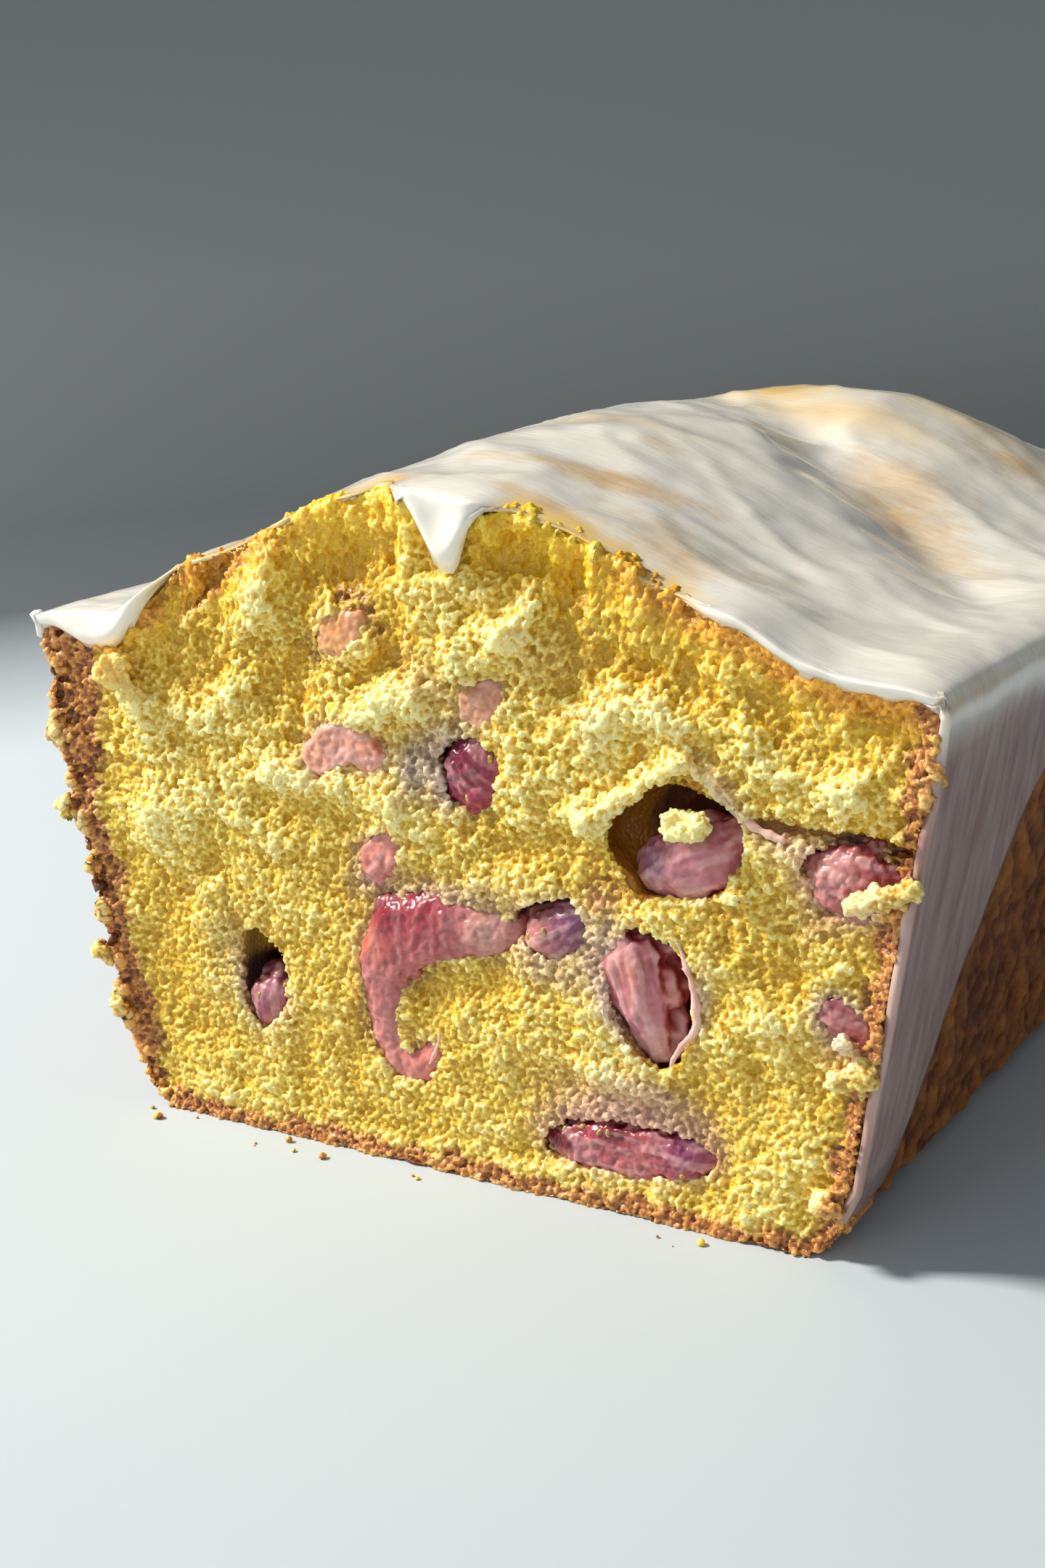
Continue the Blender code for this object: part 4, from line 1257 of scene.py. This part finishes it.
seedLook = {
    "radius": 0.5 * mm,
    "shape": (0.62, 0.5, 1.0),
    "grain": 2500,
    "colours": ((0.35, (0.30, 0.16, 0.04)), (0.65, (0.62, 0.42, 0.12))),
    "finish": {"Roughness": 0.25},
}


def makeSeeds(fruits, material):
    dice = random.Random(5)
    seeds = []
    for name, fruit in fruits.items():
        faces = [p for p in fruit.data.polygons if p.normal.y < -0.45]
        for face in dice.sample(faces, min(len(faces), fruitPieces[name].get("seeds", 0))):
            bpy.ops.mesh.primitive_uv_sphere_add(
                segments=12, ring_count=8, radius=seedLook["radius"], location=face.center,
            )
            seed = bpy.context.object
            seed.scale = seedLook["shape"]
            spin = Matrix.Rotation(dice.uniform(0, math.pi), 3, "Y").to_quaternion()
            seed.rotation_euler = (face.normal.to_track_quat("-Y", "Z") @ spin).to_euler()
            seeds.append(seed)
    obj = joined(seeds)
    obj.name = obj.data.name = "seeds"
    dressed(obj, material)
    finishPiece(obj, "fruit")


# Studio

studio = {
    "floor": (0.50, 0.555, 0.58),
    "shade": (0.085, 0.098, 0.106),
    "far": (0.21, 0.228, 0.236),
    "ahead": Vector((-0.5298, 0.8482, 0)),
    "camera": Vector((126.22, -185.14, 109.21)) * mm + Vector((0, -78 * mm, 0)),
    "right": Vector((0.8534, 0.5197, -0.0403)),
    "up": Vector((-0.108, 0.2518, 0.9617)),
    "lens": 49.27,
    "target": (0, 0, 0.04),
    "lights": (
        ("key", (-0.72, -0.32, 0.72), 0.2, 18.5, (1, 0.97, 0.92)),
        ("fill", (0.15, -1.0, 0.5), 0.9, 2.6, (0.88, 0.93, 1)),
    ),
    "sky": ((0.75, 0.82, 0.9, 1), 0.25),
}


def sweepMaterial():
    # pale, but grey behind the object, with a dark ring of painted shade on the floor before the grey
    material, nodes, links, shader = newMaterial("sweepPaint", {"Roughness": 0.7})
    place = nodes.new("ShaderNodeTexCoord")
    away, ahead = nodes.new("ShaderNodeVectorMath"), nodes.new("ShaderNodeVectorMath")
    away.operation, ahead.operation = "LENGTH", "DOT_PRODUCT"
    ahead.inputs[1].default_value = studio["ahead"]
    links.new(place.outputs["Object"], away.inputs[0])
    links.new(place.outputs["Object"], ahead.inputs[0])
    floor, shade = studio["floor"], studio["shade"]
    stops = (0.19, floor), (0.34, shade), (0.5, shade), (1.0, studio["far"])
    colour = ramped(nodes, links, away.outputs["Value"], *stops)
    behind = ramped(nodes, links, ahead.outputs["Value"], (0.03, (0, 0, 0)), (0.19, (1, 1, 1)))
    links.new(mixNode(nodes, links, behind, floor, colour), shader.inputs["Base Color"])
    return material


def makeSweep():
    # a round floor that curves up all round, highest behind the object
    start, radius, low, high = 0.7, 0.8, 0.79, 2.2
    mesh = bpy.data.meshes.new("sweep")
    bm = bmesh.new()
    rings = []
    for turn in range(0, 360, 5):
        out = Vector((math.cos(math.radians(turn)), math.sin(math.radians(turn)), 0))
        top = low + (high - low) * float(ease(out.dot(studio["ahead"]), -0.1, 0.5))
        ring = [bm.verts.new(out * d) for d in (0.01, 0.3, 0.5)]
        for bend in range(0, 91, 5):
            rise = radius - radius * math.cos(math.radians(bend))
            away = start + radius * math.sin(math.radians(bend))
            ring.append(bm.verts.new(out * away + Vector((0, 0, min(rise, top)))))
        # where the rim is low, the last point is used twice
        ring.append(bm.verts.new(out * (start + radius) + Vector((0, 0, top))) if top > radius else ring[-1])
        rings.append(ring)
    bm.faces.new([ring[0] for ring in rings])
    for one, two in zip(rings, rings[1:] + rings[:1]):
        for a, b, c, d in zip(one, one[1:], two[1:], two):
            if len({a, b, c, d}) == 4:
                bm.faces.new((a, b, c, d))
    bmesh.ops.recalc_face_normals(bm, faces=bm.faces)
    bm.to_mesh(mesh)
    bm.free()
    sweep = added("sweep", mesh)
    dressed(sweep, sweepMaterial())


def areaLight(name, place, size, power, colour):
    light = bpy.data.lights.new(name, "AREA")
    light.energy = power
    light.color = colour
    light.size = size
    obj = added(name, light)
    obj.location = place
    obj.rotation_euler = (Vector(studio["target"]) - Vector(place)).to_track_quat("-Z", "Y").to_euler()


def makeStudio():
    makeSweep()
    for light in studio["lights"]:
        areaLight(*light)
    world = bpy.data.worlds.new("studio")
    world.use_nodes = True
    sky = world.node_tree.nodes["Background"].inputs
    sky["Color"].default_value, sky["Strength"].default_value = studio["sky"]
    bpy.context.scene.world = world
    camera = added("camera", bpy.data.cameras.new("camera"))
    right, up = studio["right"].normalized(), studio["up"].normalized()
    turn = Matrix((right, up, right.cross(up))).transposed()
    camera.matrix_world = Matrix.Translation(studio["camera"]) @ turn.to_4x4()
    camera.data.lens = studio["lens"]
    camera.data.sensor_width = 36
    bpy.context.scene.camera = camera
    bpy.context.scene.view_settings.view_transform = "Standard"


groups = {"grain": grainGroup(), "browned": brownedGroup()}
crumb = crumbMaterial()
makeCrumbFace(crumb)
makeCrust(crustMaterial())
makeIcing(icingMaterial())
flesh = fruitMaterial()
fruits = {name: makeFruit(name, look, flesh) for name, look in fruitPieces.items()}
makeSeeds(fruits, speckledMaterial("seed", seedLook))
makeSkins(speckledMaterial("skin", skinLook))
makeLooseCrumbs(crumb)
makeStudio()
print("studio ready")
